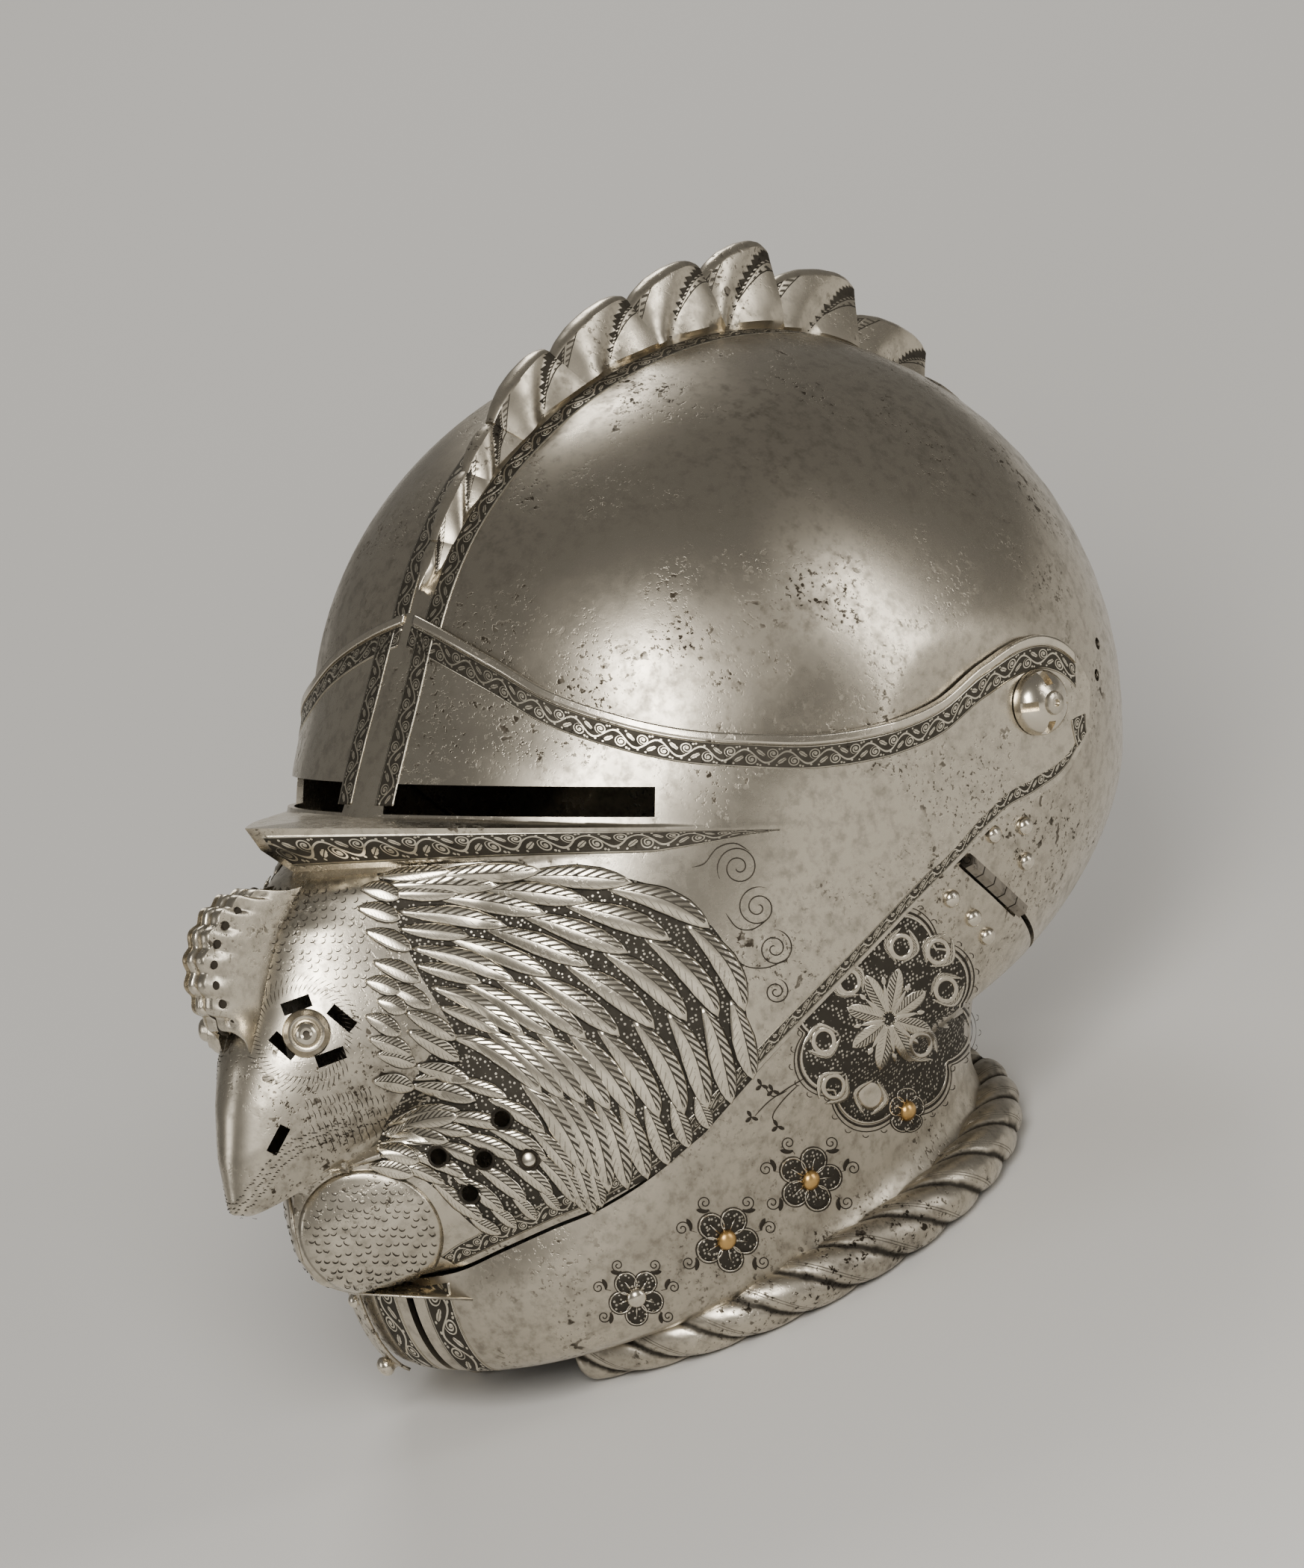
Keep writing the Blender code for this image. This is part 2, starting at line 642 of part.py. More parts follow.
def comb_mesh():
    """Half disc on the brow of the mask, scalloped round its rim."""
    bm = bmesh.new()
    count = 2 * COMB_LOBES
    first, last = math.radians(82), math.radians(246)
    centre = visor_point(0, COMB_ROW)

    def tip(t):
        a = first + (last - first) * t
        lobe = 0.5 - 0.5 * math.cos(2 * math.pi * COMB_LOBES * t)
        radius = COMB_RADIUS - 0.0012 + 0.0016 * lobe
        return (centre.y - COMB_STAND + radius * math.cos(a), centre.z + radius * math.sin(a))

    def base(t):
        p = visor_point(0, COMB_ROW + 4.2 * (t - 0.54))
        return (p.y + 0.0010, p.z)

    ridge_into(bm, [i / count for i in range(count + 1)], base, tip,
               COMB_HALF_WIDTH, COMB_HALF_WIDTH * 0.8)
    return finish_mesh(bm, "comb", centre)


# Places on the left side: on the visor as angle and row, on the skull and cheek as angle and level, and
# the way a drill points through the mask, out from the face
DRILL = Vector((0.743, -0.669, 0.0))
EYE_PLACE = (8.6, 13.46)
EYE_SLOTS = ((6.9, 12.8, 20), (11.7, 13.2, -40), (6.5, 13.7, -42), (11.2, 14.1, 20))
NOSTRIL_PLACE = (6.1, 15.8)
BREATHS = ((27.4, 19.1), (17.3, 20.7), (24.3, 21.6), (31.1, 22.3), (21.1, 23.1))
SKULL_RIVETS = ((91.6, 4.818), (97.5, 4.862), (100.1, 4.482))
CHEEK_RIVETS = ((87.4, 4.269), (92.1, 4.013), (97.1, 3.748))
LINING_RIVETS = ((101.3, 1.448), (82.1, 1.552), (65.7, 1.522), (47.1, 1.422))
ROSETTE_CENTRE = (84.5, 3.199)
ROSETTE_HOLES = ((82.2, 3.938), (88.4, 3.746), (75.1, 3.728), (93.4, 3.242), (73.8, 3.251),
                 (101.5, 2.182), (80.3, 2.643))
BACK_HOLES = ((120.8, 6.129), (118.2, 6.078))


def drill_into(bm, centre, way, radius, depth, sides):
    bmesh.ops.create_cone(bm, cap_ends=True, segments=sides, radius1=radius, radius2=radius,
                          depth=depth, matrix=frame_along(centre, way))


def block_into(bm, centre, long_way, depth_way, size):
    """Block with its length, thickness and depth along two given ways and their cross."""
    x = long_way.normalized()
    z = (depth_way - depth_way.project(x)).normalized()
    turn = Matrix((x, z.cross(x), z)).transposed().to_4x4()
    bmesh.ops.create_cube(bm, size=1.0, matrix=Matrix.Translation(centre) @ turn
                          @ Matrix.Diagonal((*size, 1.0)))


def mesh_from(bm, name):
    mesh = bpy.data.meshes.new(name)
    bm.to_mesh(mesh)
    bm.free()
    return mesh


def visor_cuts():
    """Sight slots, eye slots, nostrils, breath holes and pivot holes."""
    bm = bmesh.new()
    for side in (1, -1):
        way = mirrored(DRILL, side)
        a, b = visor_point(3.6, 5), visor_point(44.0, 5)
        along = mirrored(b - a, side)
        along.z = 0.0
        middle = mirrored((a + b) / 2, side)
        middle.z = SIGHT_LEVEL + 0.0024 + SIGHT_HEIGHT / 2
        block_into(bm, middle, along, Vector((0, 0, 1)), (SIGHT_LENGTH, 0.040, SIGHT_HEIGHT))
        flat = Vector((-way.y * side, way.x * side, 0.0))
        for angle, row, turn in EYE_SLOTS:
            rise = Vector((0, 0, math.sin(math.radians(turn))))
            block_into(bm, mirrored(visor_point(angle, row), side),
                       flat * math.cos(math.radians(turn)) + rise, way, (*EYE_SLOT, 0.014))
        block_into(bm, mirrored(visor_point(*NOSTRIL_PLACE), side), flat + Vector((0, 0, 1.9)), way,
                   NOSTRIL)
        for place in BREATHS:
            drill_into(bm, mirrored(visor_point(*place), side), way, BREATH_RADIUS, 0.016, 6)
        pivot = Vector((side * (TEMPLE_FLAT + VISOR_WALL), PIVOT.y, PIVOT.z))
        drill_into(bm, pivot, Vector((1, 0, 0)), PIVOT_PIN_RADIUS + JOINT_GAP, 0.016, 10)
    return mesh_from(bm, "visor_cuts")


def visor_additions():
    """Comb and eye bosses, raised from the mask's own plate."""
    bm = bmesh.new()
    bm.from_mesh(comb_mesh())
    for side in (1, -1):
        place = frame_along(mirrored(visor_point(*EYE_PLACE), side), mirrored(DRILL, side))
        dome, h = EYE_DOME_RADIUS, EYE_HEIGHT
        eye = [(0, 2.5 * h), (0.6 * dome, 2.35 * h), (dome, 1.6 * h), (1.2 * dome, 1.4 * h),
               (0.80 * EYE_RADIUS, h), (0.82 * EYE_RADIUS, -0.4 * h), (0, -0.4 * h)]
        turned_into(bm, place, eye, 6)
    bmesh.ops.remove_doubles(bm, verts=bm.verts, dist=1e-6)
    bmesh.ops.recalc_face_normals(bm, faces=bm.faces)
    return mesh_from(bm, "visor_additions")


def rivet_profile(radius, height, seat, shank_depth):
    """Domed head over a shank, as radius and height pairs from the top down."""
    return [(0, height + seat), (0.70 * radius, 0.72 * height + seat), (radius, seat),
            (RIVET_SHANK, seat), (RIVET_SHANK, -shank_depth),
            (0, -shank_depth)]


def hinge_recess_into(bm, side):
    """Channel that the hinge's barrel lies in, cut into both plates along the seam."""
    a, b, along, out, up = hinge_frame(side)
    drill_into(bm, (a + b) / 2, along, HINGE_RADIUS + JOINT_GAP, (b - a).length + 2 * JOINT_GAP, 8)


def skull_cuts():
    """Rivet holes over the hinges, holes at the back and pivot holes."""
    bm = bmesh.new()
    for side in (1, -1):
        for rivet in SKULL_RIVETS:
            p, n = body_normal(*rivet)
            drill_into(bm, mirrored(p, side), mirrored(n, side), RIVET_SHANK + SEAT_GAP, 0.008, 6)
        hinge_recess_into(bm, side)
        for hole in BACK_HOLES:
            p, n = body_normal(*hole)
            drill_into(bm, mirrored(p, side), mirrored(n, side), BACK_HOLE_RADIUS, 0.010, 6)
        pivot = Vector((side * TEMPLE_FLAT, PIVOT.y, PIVOT.z))
        drill_into(bm, pivot, Vector((1, 0, 0)), PIVOT_PIN_RADIUS + SEAT_GAP, 0.020, 10)
    return mesh_from(bm, "skull_cuts")


def cheek_cuts(side):
    """Rivet holes and the rosette's breath holes."""
    bm = bmesh.new()
    for rivet in CHEEK_RIVETS + LINING_RIVETS:
        p, n = body_normal(*rivet)
        drill_into(bm, mirrored(p, side), mirrored(n, side), RIVET_SHANK + SEAT_GAP, 0.008, 6)
    for hole in ROSETTE_HOLES:
        p, n = body_normal(*hole)
        drill_into(bm, mirrored(p, side), mirrored(n, side), BREATH_RADIUS, 0.010, 6)
    hinge_recess_into(bm, side)
    p, n = body_normal(*ROSETTE_CENTRE)
    drill_into(bm, mirrored(p, side), mirrored(n, side), 0.0014, 0.010, 6)
    return mesh_from(bm, "cheek_cuts")


def hinge_frame(side):
    """Ends of the hinge's axis, its way along, out from the plate and up across the seam."""
    a, na = body_place(HINGE_START_Y, HINGE_START_Z)
    b, nb = body_place(HINGE_END_Y, HINGE_END_Z)
    out = mirrored((na + nb).normalized(), side)
    a = mirrored(a, side) + out * HINGE_STAND_OFF
    b = mirrored(b, side) + out * HINGE_STAND_OFF
    along = (b - a).normalized()
    out = (out - out.project(along)).normalized()
    up = along.cross(out) * side
    if up.z < 0:
        up = -up
    return a, b, along, out, up


def add_leaf(name, side, first, up_sign, collections, mat, origin, parent):
    """Hinge leaf: its plate inside the helmet, and knuckles reached through the seam."""
    armet, cutters = collections
    a, b, along, out, up = hinge_frame(side)
    pitch = (b - a).length / KNUCKLES
    half_thick = HINGE_LEAF_THICKNESS / 2
    reach = HINGE_LEAF_WIDTH / 2 + HINGE_LEAF_THICKNESS
    middle = (a + b) / 2 - out * HINGE_LEAF_DEPTH
    plate = bmesh.new()
    block_into(plate, middle + up * up_sign * reach, along, out,
               ((b - a).length - 0.001, HINGE_LEAF_WIDTH, HINGE_LEAF_THICKNESS))
    leaf = add_object(name, mesh_from(plate, name), armet, mat, origin, parent)
    webs, knuckles, bore = bmesh.new(), bmesh.new(), bmesh.new()
    for i in range(first, KNUCKLES, 2):
        centre = a + along * pitch * (i + 0.5)
        length = pitch - JOINT_GAP
        block_into(webs, centre - out * (HINGE_LEAF_DEPTH + half_thick * 0.6) / 2, along, out,
                   (length - 0.0002, HINGE_LEAF_THICKNESS, HINGE_LEAF_DEPTH + half_thick * 0.6))
        drill_into(knuckles, centre, along, HINGE_RADIUS, length, 6)
    for i in range(first, KNUCKLES, 2):
        centre = a + along * pitch * (i + 0.5)
        foot = centre - out * HINGE_LEAF_DEPTH + up * up_sign * HINGE_LEAF_THICKNESS * 0.9
        block_into(knuckles, foot, along, out,
                   (pitch - JOINT_GAP - 0.0004, HINGE_LEAF_THICKNESS * 2.4, HINGE_LEAF_THICKNESS * 1.1))
    drill_into(bore, (a + b) / 2, along, HINGE_PIN_RADIUS + SEAT_GAP, (b - a).length * 1.2, 6)
    for kind, bm, operation in (("webs", webs, "UNION"), ("knuckles", knuckles, "UNION"),
                                ("bore", bore, "DIFFERENCE")):
        guide = as_guide(add_object(name + "_" + kind, mesh_from(bm, kind), cutters, None,
                                    Vector(), parent))
        guide.parent = bpy.data.objects["rest_tilt"]
        boolean(leaf, guide, operation)
    return leaf


def add_cut(obj, name, mesh, cutters, parent, operation="DIFFERENCE"):
    guide = as_guide(add_object(name, mesh, cutters, None, Vector(), parent))
    return boolean(obj, guide, operation)


def plate_facet(angle, level):
    """Point of the cheek's own mesh at an angle and level, on the flat facet between its grid's corners."""
    columns = CHEEK_COLUMNS + [TAIL_ANGLE - TAIL_GAP_ANGLE]
    i = max(k for k in range(len(columns) - 1) if columns[k] <= max(angle, columns[0]))
    share = (angle - columns[i]) / (columns[i + 1] - columns[i])
    ends = []
    for column in columns[i:i + 2]:
        top = cheek_top_level(column)
        lift = min(max(level / top, 0.0), 0.999)
        j = max(k for k in range(len(PLATE_LIFTS) - 1) if PLATE_LIFTS[k] <= lift)
        part = (lift - PLATE_LIFTS[j]) / (PLATE_LIFTS[j + 1] - PLATE_LIFTS[j])
        ends.append(body_point(column, top * PLATE_LIFTS[j]).lerp(
            body_point(column, top * PLATE_LIFTS[j + 1]), part))
    return ends[0].lerp(ends[1], share)


def plate_rise(spot, p, n, radius):
    """How far the cheek's mesh rises above a head's foot plane anywhere under the head."""
    rise = 0.0
    reach = math.degrees(2 * radius / SKULL_HALF_WIDTH)
    for i in range(-4, 5):
        for j in range(-4, 5):
            way = plate_facet(spot[0] + reach * i / 4, spot[1] + j / 16) - p
            height = way.dot(n)
            if (way - n * height).length < 1.2 * radius:
                rise = max(rise, height)
    return rise


def add_rivets(side, side_name, mats, armet, parent):
    """Steel rivets round the hinge and lining rivets along the cheek's foot."""
    rows = [("skull_rivet", SKULL_RIVETS, SKULL_WALL, 1.0),
            ("hinge_rivet", CHEEK_RIVETS, CHEEK_WALL, 1.0),
            ("lining_rivet", LINING_RIVETS, CHEEK_WALL, 1.15)]
    for kind, places, wall, size in rows:
        for i, spot in enumerate(places):
            p, n = body_normal(*spot)
            seat = SEAT_GAP
            if kind != "skull_rivet":
                seat += SEAT_GAP + plate_rise(spot, p, n, RIVET_RADIUS * size)
            place = frame_along(mirrored(p, side), mirrored(n, side))
            profile = rivet_profile(RIVET_RADIUS * size, RIVET_HEIGHT * size, seat, wall)
            brass = kind == "lining_rivet" and i < 3
            name = f"{kind}_{side_name}_{i + 1}"
            mesh = turned_mesh(name, place, profile, 6)
            add_object(name, mesh, armet, mats["brass" if brass else "bright"], place.translation.copy(),
                       parent)


def add_catch(armet, cutters, mat, parent):
    """Spring strip on the right cheek's chin, with the stud that a strap or hook takes."""
    bm = bmesh.new()

    def strip(width_share, level):
        centre = body_point(15.5, level)
        n = (body_point(15.5, level + 0.05) - centre).cross(body_point(12, level) - centre).normalized()
        if n.y > 0:
            n = -n
        p = centre + n * (CATCH_STAND + CATCH_THICKNESS)
        across = (body_point(18, level) - body_point(13, level)).normalized()
        return mirrored(p + across * width_share * CATCH_HALF_WIDTH, -1)

    grid_into(bm, [-1, 0, 1], [0.9, 1.2, 1.5, 1.8, 2.1], strip)
    mesh = finish_mesh(bm, "chin_catch", Vector((0, 0, -0.05)))
    catch = add_object("chin_catch", mesh, armet, mat, Vector(), parent)
    solidify(catch, CATCH_THICKNESS)
    foot = strip(0, 1.1)
    way = Vector((-0.35, -0.75, -0.55)).normalized()
    r = CATCH_STUD_RADIUS
    place = frame_along(foot, way)
    stud = turned_mesh("stud", place, [(0, 2.3 * r), (0.62 * r, 2.1 * r), (r, 1.4 * r), (0.75 * r, 0.7 * r),
                                       (0.45 * r, 0.4 * r), (0.45 * r, -0.0006), (0, -0.0006)], 10)
    add_cut(catch, "chin_stud", stud, cutters, parent, "UNION")
    top = strip(0, 1.9)
    place = frame_along(top, Vector((-0.2, -0.98, 0.0)))
    foot = SEAT_GAP - CATCH_STAND - CATCH_THICKNESS
    boss = turned_mesh("boss", place, [(0, 0.0018), (0.0015, 0.0013), (0.0020, foot), (0, foot)], 6)
    add_cut(catch, "catch_rivet", boss, cutters, parent, "UNION")


def main():
    for old in list(bpy.data.objects):
        bpy.data.objects.remove(old)
    armet = bpy.data.collections.new("armet")
    cutters = bpy.data.collections.new("cutters")
    for collection in (armet, cutters):
        bpy.context.scene.collection.children.link(collection)
    mats = {
        "skull": material("skull steel", (0.55, 0.53, 0.48), 1.0, 0.36),
        "visor": material("visor steel", (0.58, 0.56, 0.51), 1.0, 0.32),
        "cheek": material("cheek steel", (0.52, 0.50, 0.46), 1.0, 0.38),
        "bright": material("bright rivet steel", (0.66, 0.64, 0.59), 1.0, 0.25),
        "brass": material("brass caps", (0.66, 0.47, 0.22), 1.0, 0.32),
        "dark": material("hinge iron", (0.36, 0.34, 0.31), 1.0, 0.45),
    }
    tilt = bpy.data.objects.new("rest_tilt", None)
    tilt.location = WORN_ORIGIN + COLLAR_MIDDLE
    tilt.rotation_euler = (-REST_TILT, 0.0, 0.0)
    armet.objects.link(tilt)

    skull = add_object("skull", skull_mesh(), armet, mats["skull"], Vector(), tilt)
    solidify(skull, SKULL_WALL)
    add_cut(skull, "skull_cuts", skull_cuts(), cutters, tilt)
    add_cut(skull, "crest", crest_mesh(), cutters, tilt, "UNION")
    add_cut(skull, "crest_hollow", crest_hollow_mesh(), cutters, tilt)

    visor = add_object("visor", visor_mesh(), armet, mats["visor"], PIVOT.copy(), tilt)
    solidify(visor, VISOR_WALL)
    add_cut(visor, "visor_additions", visor_additions(), cutters, tilt, "UNION")
    add_cut(visor, "visor_cuts", visor_cuts(), cutters, tilt)

    for side, side_name in ((1, "left"), (-1, "right")):
        a, b, along, out, up = hinge_frame(side)
        cheek = add_object(f"cheek_{side_name}", cheek_mesh(side), armet, mats["cheek"], a.copy(), tilt)
        solidify(cheek, CHEEK_WALL)
        add_cut(cheek, f"cheek_cuts_{side_name}", cheek_cuts(side), cutters, tilt)
        add_leaf(f"skull_leaf_{side_name}", side, 0, 1, (armet, cutters), mats["dark"], a.copy(), tilt)
        add_leaf(f"cheek_leaf_{side_name}", side, 1, -1, (armet, cutters), mats["dark"], a.copy(), tilt)
        pin = cylinder_mesh("hinge_pin", a, b, HINGE_PIN_RADIUS, 8)
        add_object(f"hinge_pin_{side_name}", pin, armet, mats["dark"], a.copy(), tilt)
        add_rivets(side, side_name, mats, armet, tilt)
        outer = TEMPLE_FLAT + VISOR_PLAY + VISOR_WALL + JOINT_GAP
        place = frame_along(Vector((side * outer, PIVOT.y, PIVOT.z)), Vector((side, 0, 0)))
        r, h = PIVOT_DOME_RADIUS, PIVOT_DOME_HEIGHT
        depth = outer - TEMPLE_FLAT + SKULL_WALL + 0.001
        dome = [(0, 1.30 * h), (0.20 * r, 1.24 * h), (0.40 * r, 1.02 * h), (0.44 * r, 0.92 * h),
                (0.70 * r, 0.74 * h), (0.93 * r, 0.35 * h), (r, 0), (PIVOT_PIN_RADIUS, 0),
                (PIVOT_PIN_RADIUS, -depth), (0, -depth)]
        add_object(f"pivot_{side_name}", turned_mesh("pivot", place, dome, 10), armet, mats["bright"],
                   place.translation.copy(), tilt)
    add_catch(armet, cutters, mats["bright"], tilt)


main()
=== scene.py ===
"""Looks of the closed helmet: polished and etched steel, raised feathers, crest and roped rim."""
import bpy
import bmesh
import math
import numpy as np
from mathutils import Matrix, Vector
from mathutils.kdtree import KDTree


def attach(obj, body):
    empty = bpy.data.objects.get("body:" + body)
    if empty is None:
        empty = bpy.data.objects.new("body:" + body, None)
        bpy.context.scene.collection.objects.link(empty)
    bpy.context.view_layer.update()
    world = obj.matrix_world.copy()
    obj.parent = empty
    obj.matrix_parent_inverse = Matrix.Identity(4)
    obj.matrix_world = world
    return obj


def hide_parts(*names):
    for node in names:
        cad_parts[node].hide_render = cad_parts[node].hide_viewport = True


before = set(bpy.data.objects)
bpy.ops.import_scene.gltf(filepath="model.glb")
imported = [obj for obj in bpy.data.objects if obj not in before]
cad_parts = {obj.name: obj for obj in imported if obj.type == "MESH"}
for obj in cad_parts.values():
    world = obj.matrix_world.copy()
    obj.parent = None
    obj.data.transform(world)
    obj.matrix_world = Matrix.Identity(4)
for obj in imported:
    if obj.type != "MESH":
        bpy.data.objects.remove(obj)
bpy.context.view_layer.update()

# The worn frame, sight level and face to -Y, tips back to the rest frame on the roped rim
REST_TILT = math.radians(27.5)
COLLAR_MIDDLE = np.array([0.0, -0.01208, 0.0])
WORN_ORIGIN = np.array([0.0, 0.059, 0.1153])
TO_REST = np.array([[1, 0, 0],
                    [0, math.cos(REST_TILT), math.sin(REST_TILT)],
                    [0, -math.sin(REST_TILT), math.cos(REST_TILT)]])

# Sizes that the plates were made to
SKULL_CENTRE = np.array([0.0, 0.002, 0.018])
SKULL_HALF_WIDTH, SKULL_FRONT, SKULL_BACK, SKULL_HEIGHT = 0.107, 0.127, 0.109, 0.112
SKULL_SQUARENESS, TEMPLE_FLAT = 2.12, 0.1035
SKULL_WALL, VISOR_WALL, CHEEK_WALL, VISOR_PLAY = 0.0020, 0.0018, 0.0018, 0.0012
COLLAR_HALF_LENGTH, COLLAR_HALF_WIDTH, ROPE_RADIUS, NECK_HEIGHT = 0.084, 0.080, 0.0085, 0.045
PIVOT_Y, PIVOT_Z, ARM_FLAT_RADIUS = 0.021, 0.025, 0.046
SIGHT_LEVEL, SIGHT_HEIGHT, SIGHT_LENGTH = -0.008, 0.0086, 0.080
SEAM_GAP, CHEEK_GAP, CHIN_GAP = 0.0018, 0.0014, 0.0030
HINGE_START, HINGE_END = (-0.004, -0.019), (0.023, -0.034)
SEAM_START_ANGLE = 86
SIDES = ((1, "left"), (-1, "right"))

# Sections of the neck and the face, and the edges of the plates by angle from the front
NECK_SECTIONS = (
    (-1.095, 0.27, 0.976, 0.31, 0.950, 0.52, 2.2),
    (-1.333, 0.44, 1.000, 0.58, 0.925, 0.53, 2.3),
    (-1.381, 1.00, 1.167, 1.07, 0.988, 0.54, 2.3))
FACE_SECTIONS = (
    (-1.016, -1.098, 0.764, -0.455, 0.841, 0.55, 2.20),
    (-1.024, -0.696, 0.896, -0.330, 0.925, 0.555, 2.15),
    (-1.008, -0.295, 0.981, -0.170, 0.982, 0.552, 2.12))
VISOR_TOP_EDGE = (
    (0, 0.295), (7, 0.254), (17, 0.183), (26, 0.107), (37, 0.046), (46, 0.013), (55, 0.0), (64, -0.004),
    (74, 0.022), (83, 0.076), (90, 0.17), (96, 0.223), (101, 0.232), (106, 0.192), (109.5, 0.107))
VISOR_LOWER_EDGE = (
    (0, -1.384), (12, -1.357), (22, -1.304), (32, -1.246), (42, -1.187), (52, -1.085), (59, -0.955),
    (65, -0.821), (74, -0.616), (83, -0.402), (91, -0.237), (98, -0.179), (104, -0.121),
    (109.5, -0.009))
SKULL_BROW_EDGE = (
    (0, 0.107), (20, 0.054), (37, -0.045), (46, -0.08), (66, -0.089), (86, -0.299))
VISOR_ROWS = np.array((
    (0.295, 0.978, 0.978, 0.295, 0.28, 1, 2),
    (0.196, 1.009, 1.009, 0.196, 0.28, 1, 2),
    (0.089, 1.041, 1.041, 0.089, 0.28, 1, 2),
    (-0.018, 1.072, 1.076, -0.018, 0.28, 1, 2),
    (-0.116, 1.098, 1.106, -0.116, 0.28, 1, 2),
    (-0.214, 1.118, 1.134, -0.221, 0.37, 1, 2),
    (-0.225, 1.122, 1.307, -0.225, 0.79, 1, 2),
    (-0.237, 1.126, 1.472, -0.239, 0.86, 1, 2),
    (-0.268, 1.130, 1.425, -0.295, 0.82, 1, 2),
    (-0.330, 1.138, 1.327, -0.353, 0.51, 1, 1.6),
    (-0.393, 1.146, 1.366, -0.411, 0.39, 2, 1.6),
    (-0.482, 1.157, 1.421, -0.500, 0.39, 2, 1.6),
    (-0.580, 1.169, 1.449, -0.598, 0.42, 2, 1.6),
    (-0.687, 1.181, 1.476, -0.714, 0.44, 2, 1.6),
    (-0.786, 1.189, 1.512, -0.830, 0.42, 2, 1.6),
    (-0.866, 1.189, 1.531, -0.955, 0.37, 2, 1.6),
    (-0.929, 1.189, 1.531, -1.080, 0.32, 2, 1.6),
    (-0.982, 1.185, 1.508, -1.214, 0.22, 2, 1.4),
    (-1.018, 1.181, 1.465, -1.219, 0.21, 2, 1.4),
    (-1.049, 1.177, 1.386, -1.147, 0.25, 2, 1.2),
    (-1.080, 1.169, 1.339, -1.125, 0.29, 1.4, 1.1),
    (-1.121, 1.161, 1.327, -1.179, 0.30, 1.1, 1),
    (-1.170, 1.150, 1.323, -1.259, 0.30, 1, 1),
    (-1.223, 1.130, 1.299, -1.339, 0.29, 1, 1),
    (-1.277, 1.102, 1.244, -1.402, 0.28, 1.1, 1.1),
    (-1.321, 1.063, 1.150, -1.420, 0.26, 1.4, 1.3),
    (-1.357, 1.024, 1.047, -1.402, 0.24, 2, 1.4),
    (-1.384, 0.992, 0.992, -1.384, 0.24, 2, 1.4)))


# Shapes of the plates, worked out for whole arrays of angles, levels and rows at once
def blend(table, angle):
    """Smooth value of a two-column table at each angle."""
    table = np.array(table, float)
    x, y = table[:, 0], table[:, 1]
    angle = np.clip(np.abs(angle), x[0], x[-1])
    i = np.clip(np.searchsorted(x, angle, side="right") - 1, 0, len(x) - 2)
    xe = np.concatenate([[2 * x[0] - x[1]], x, [2 * x[-1] - x[-2]]])
    ye = np.concatenate([[2 * y[0] - y[1]], y, [2 * y[-1] - y[-2]]])
    step = x[i + 1] - x[i]
    t = (angle - x[i]) / step
    slope1 = (y[i + 1] - ye[i]) / (x[i + 1] - xe[i]) * step
    slope2 = (ye[i + 3] - y[i]) / (xe[i + 3] - x[i]) * step
    return ((2 * t**3 - 3 * t**2 + 1) * y[i] + (t**3 - 2 * t**2 + t) * slope1
            + (3 * t**2 - 2 * t**3) * y[i + 1] + (t**3 - t**2) * slope2)


def edge_height(table, angle):
    return SKULL_CENTRE[2] + SKULL_HEIGHT * blend(table, angle)


def to_worn(y, z):
    dy, dz = y - WORN_ORIGIN[1], z - WORN_ORIGIN[2]
    c, s = math.cos(REST_TILT), math.sin(REST_TILT)
    return dy * c - dz * s, dy * s + dz * c


def dome_section(lift):
    """Section of the bowl's dome, with lift 0 at its widest and 1 at the crown."""
    lift = np.asarray(lift, float)
    c, s = np.cos(lift * np.pi / 2), np.sin(lift * np.pi / 2)
    height = SKULL_CENTRE[2] + SKULL_HEIGHT * s
    share = np.full_like(c, SKULL_FRONT / (SKULL_FRONT + SKULL_BACK))
    return np.stack([SKULL_CENTRE[1] - SKULL_FRONT * c, height, SKULL_CENTRE[1] + SKULL_BACK * c, height,
                     SKULL_HALF_WIDTH * c, share, np.full_like(c, SKULL_SQUARENESS)], -1)


def section_table():
    rows = []
    for front, fz, back, bz, width, widest, square in NECK_SECTIONS:
        rows.append((*to_worn(front * COLLAR_HALF_LENGTH, fz * NECK_HEIGHT),
                     *to_worn(back * COLLAR_HALF_LENGTH, bz * NECK_HEIGHT),
                     width * COLLAR_HALF_WIDTH, widest, square))
    for front, fz, back, bz, width, widest, square in FACE_SECTIONS:
        rows.append((SKULL_CENTRE[1] + front * SKULL_FRONT, SKULL_CENTRE[2] + fz * SKULL_HEIGHT,
                     SKULL_CENTRE[1] + back * SKULL_BACK, SKULL_CENTRE[2] + bz * SKULL_HEIGHT,
                     width * SKULL_HALF_WIDTH, widest, square))
    rows.append(tuple(dome_section(0.0)))
    rows.append(tuple(dome_section(0.19)))
    return np.array(rows)


SECTIONS = section_table()
EQUATOR = len(SECTIONS) - 2
CROWN = EQUATOR + 1


def section(level):
    level = np.asarray(level, float)
    i = np.clip(level.astype(int), 0, EQUATOR - 1)
    t = (level - i)[..., None]
    p0, p1 = SECTIONS[np.maximum(i - 1, 0)], SECTIONS[i]
    p2, p3 = SECTIONS[i + 1], SECTIONS[np.minimum(i + 2, EQUATOR + 1)]
    face = 0.5 * (2 * p1 + (p2 - p0) * t + (2 * p0 - 5 * p1 + 4 * p2 - p3) * t**2
                  + (3 * p1 - p0 - 3 * p2 + p3) * t**3)
    dome = dome_section(np.clip(level - EQUATOR, 0, 1))
    return np.where((level >= EQUATOR)[..., None], dome, face)


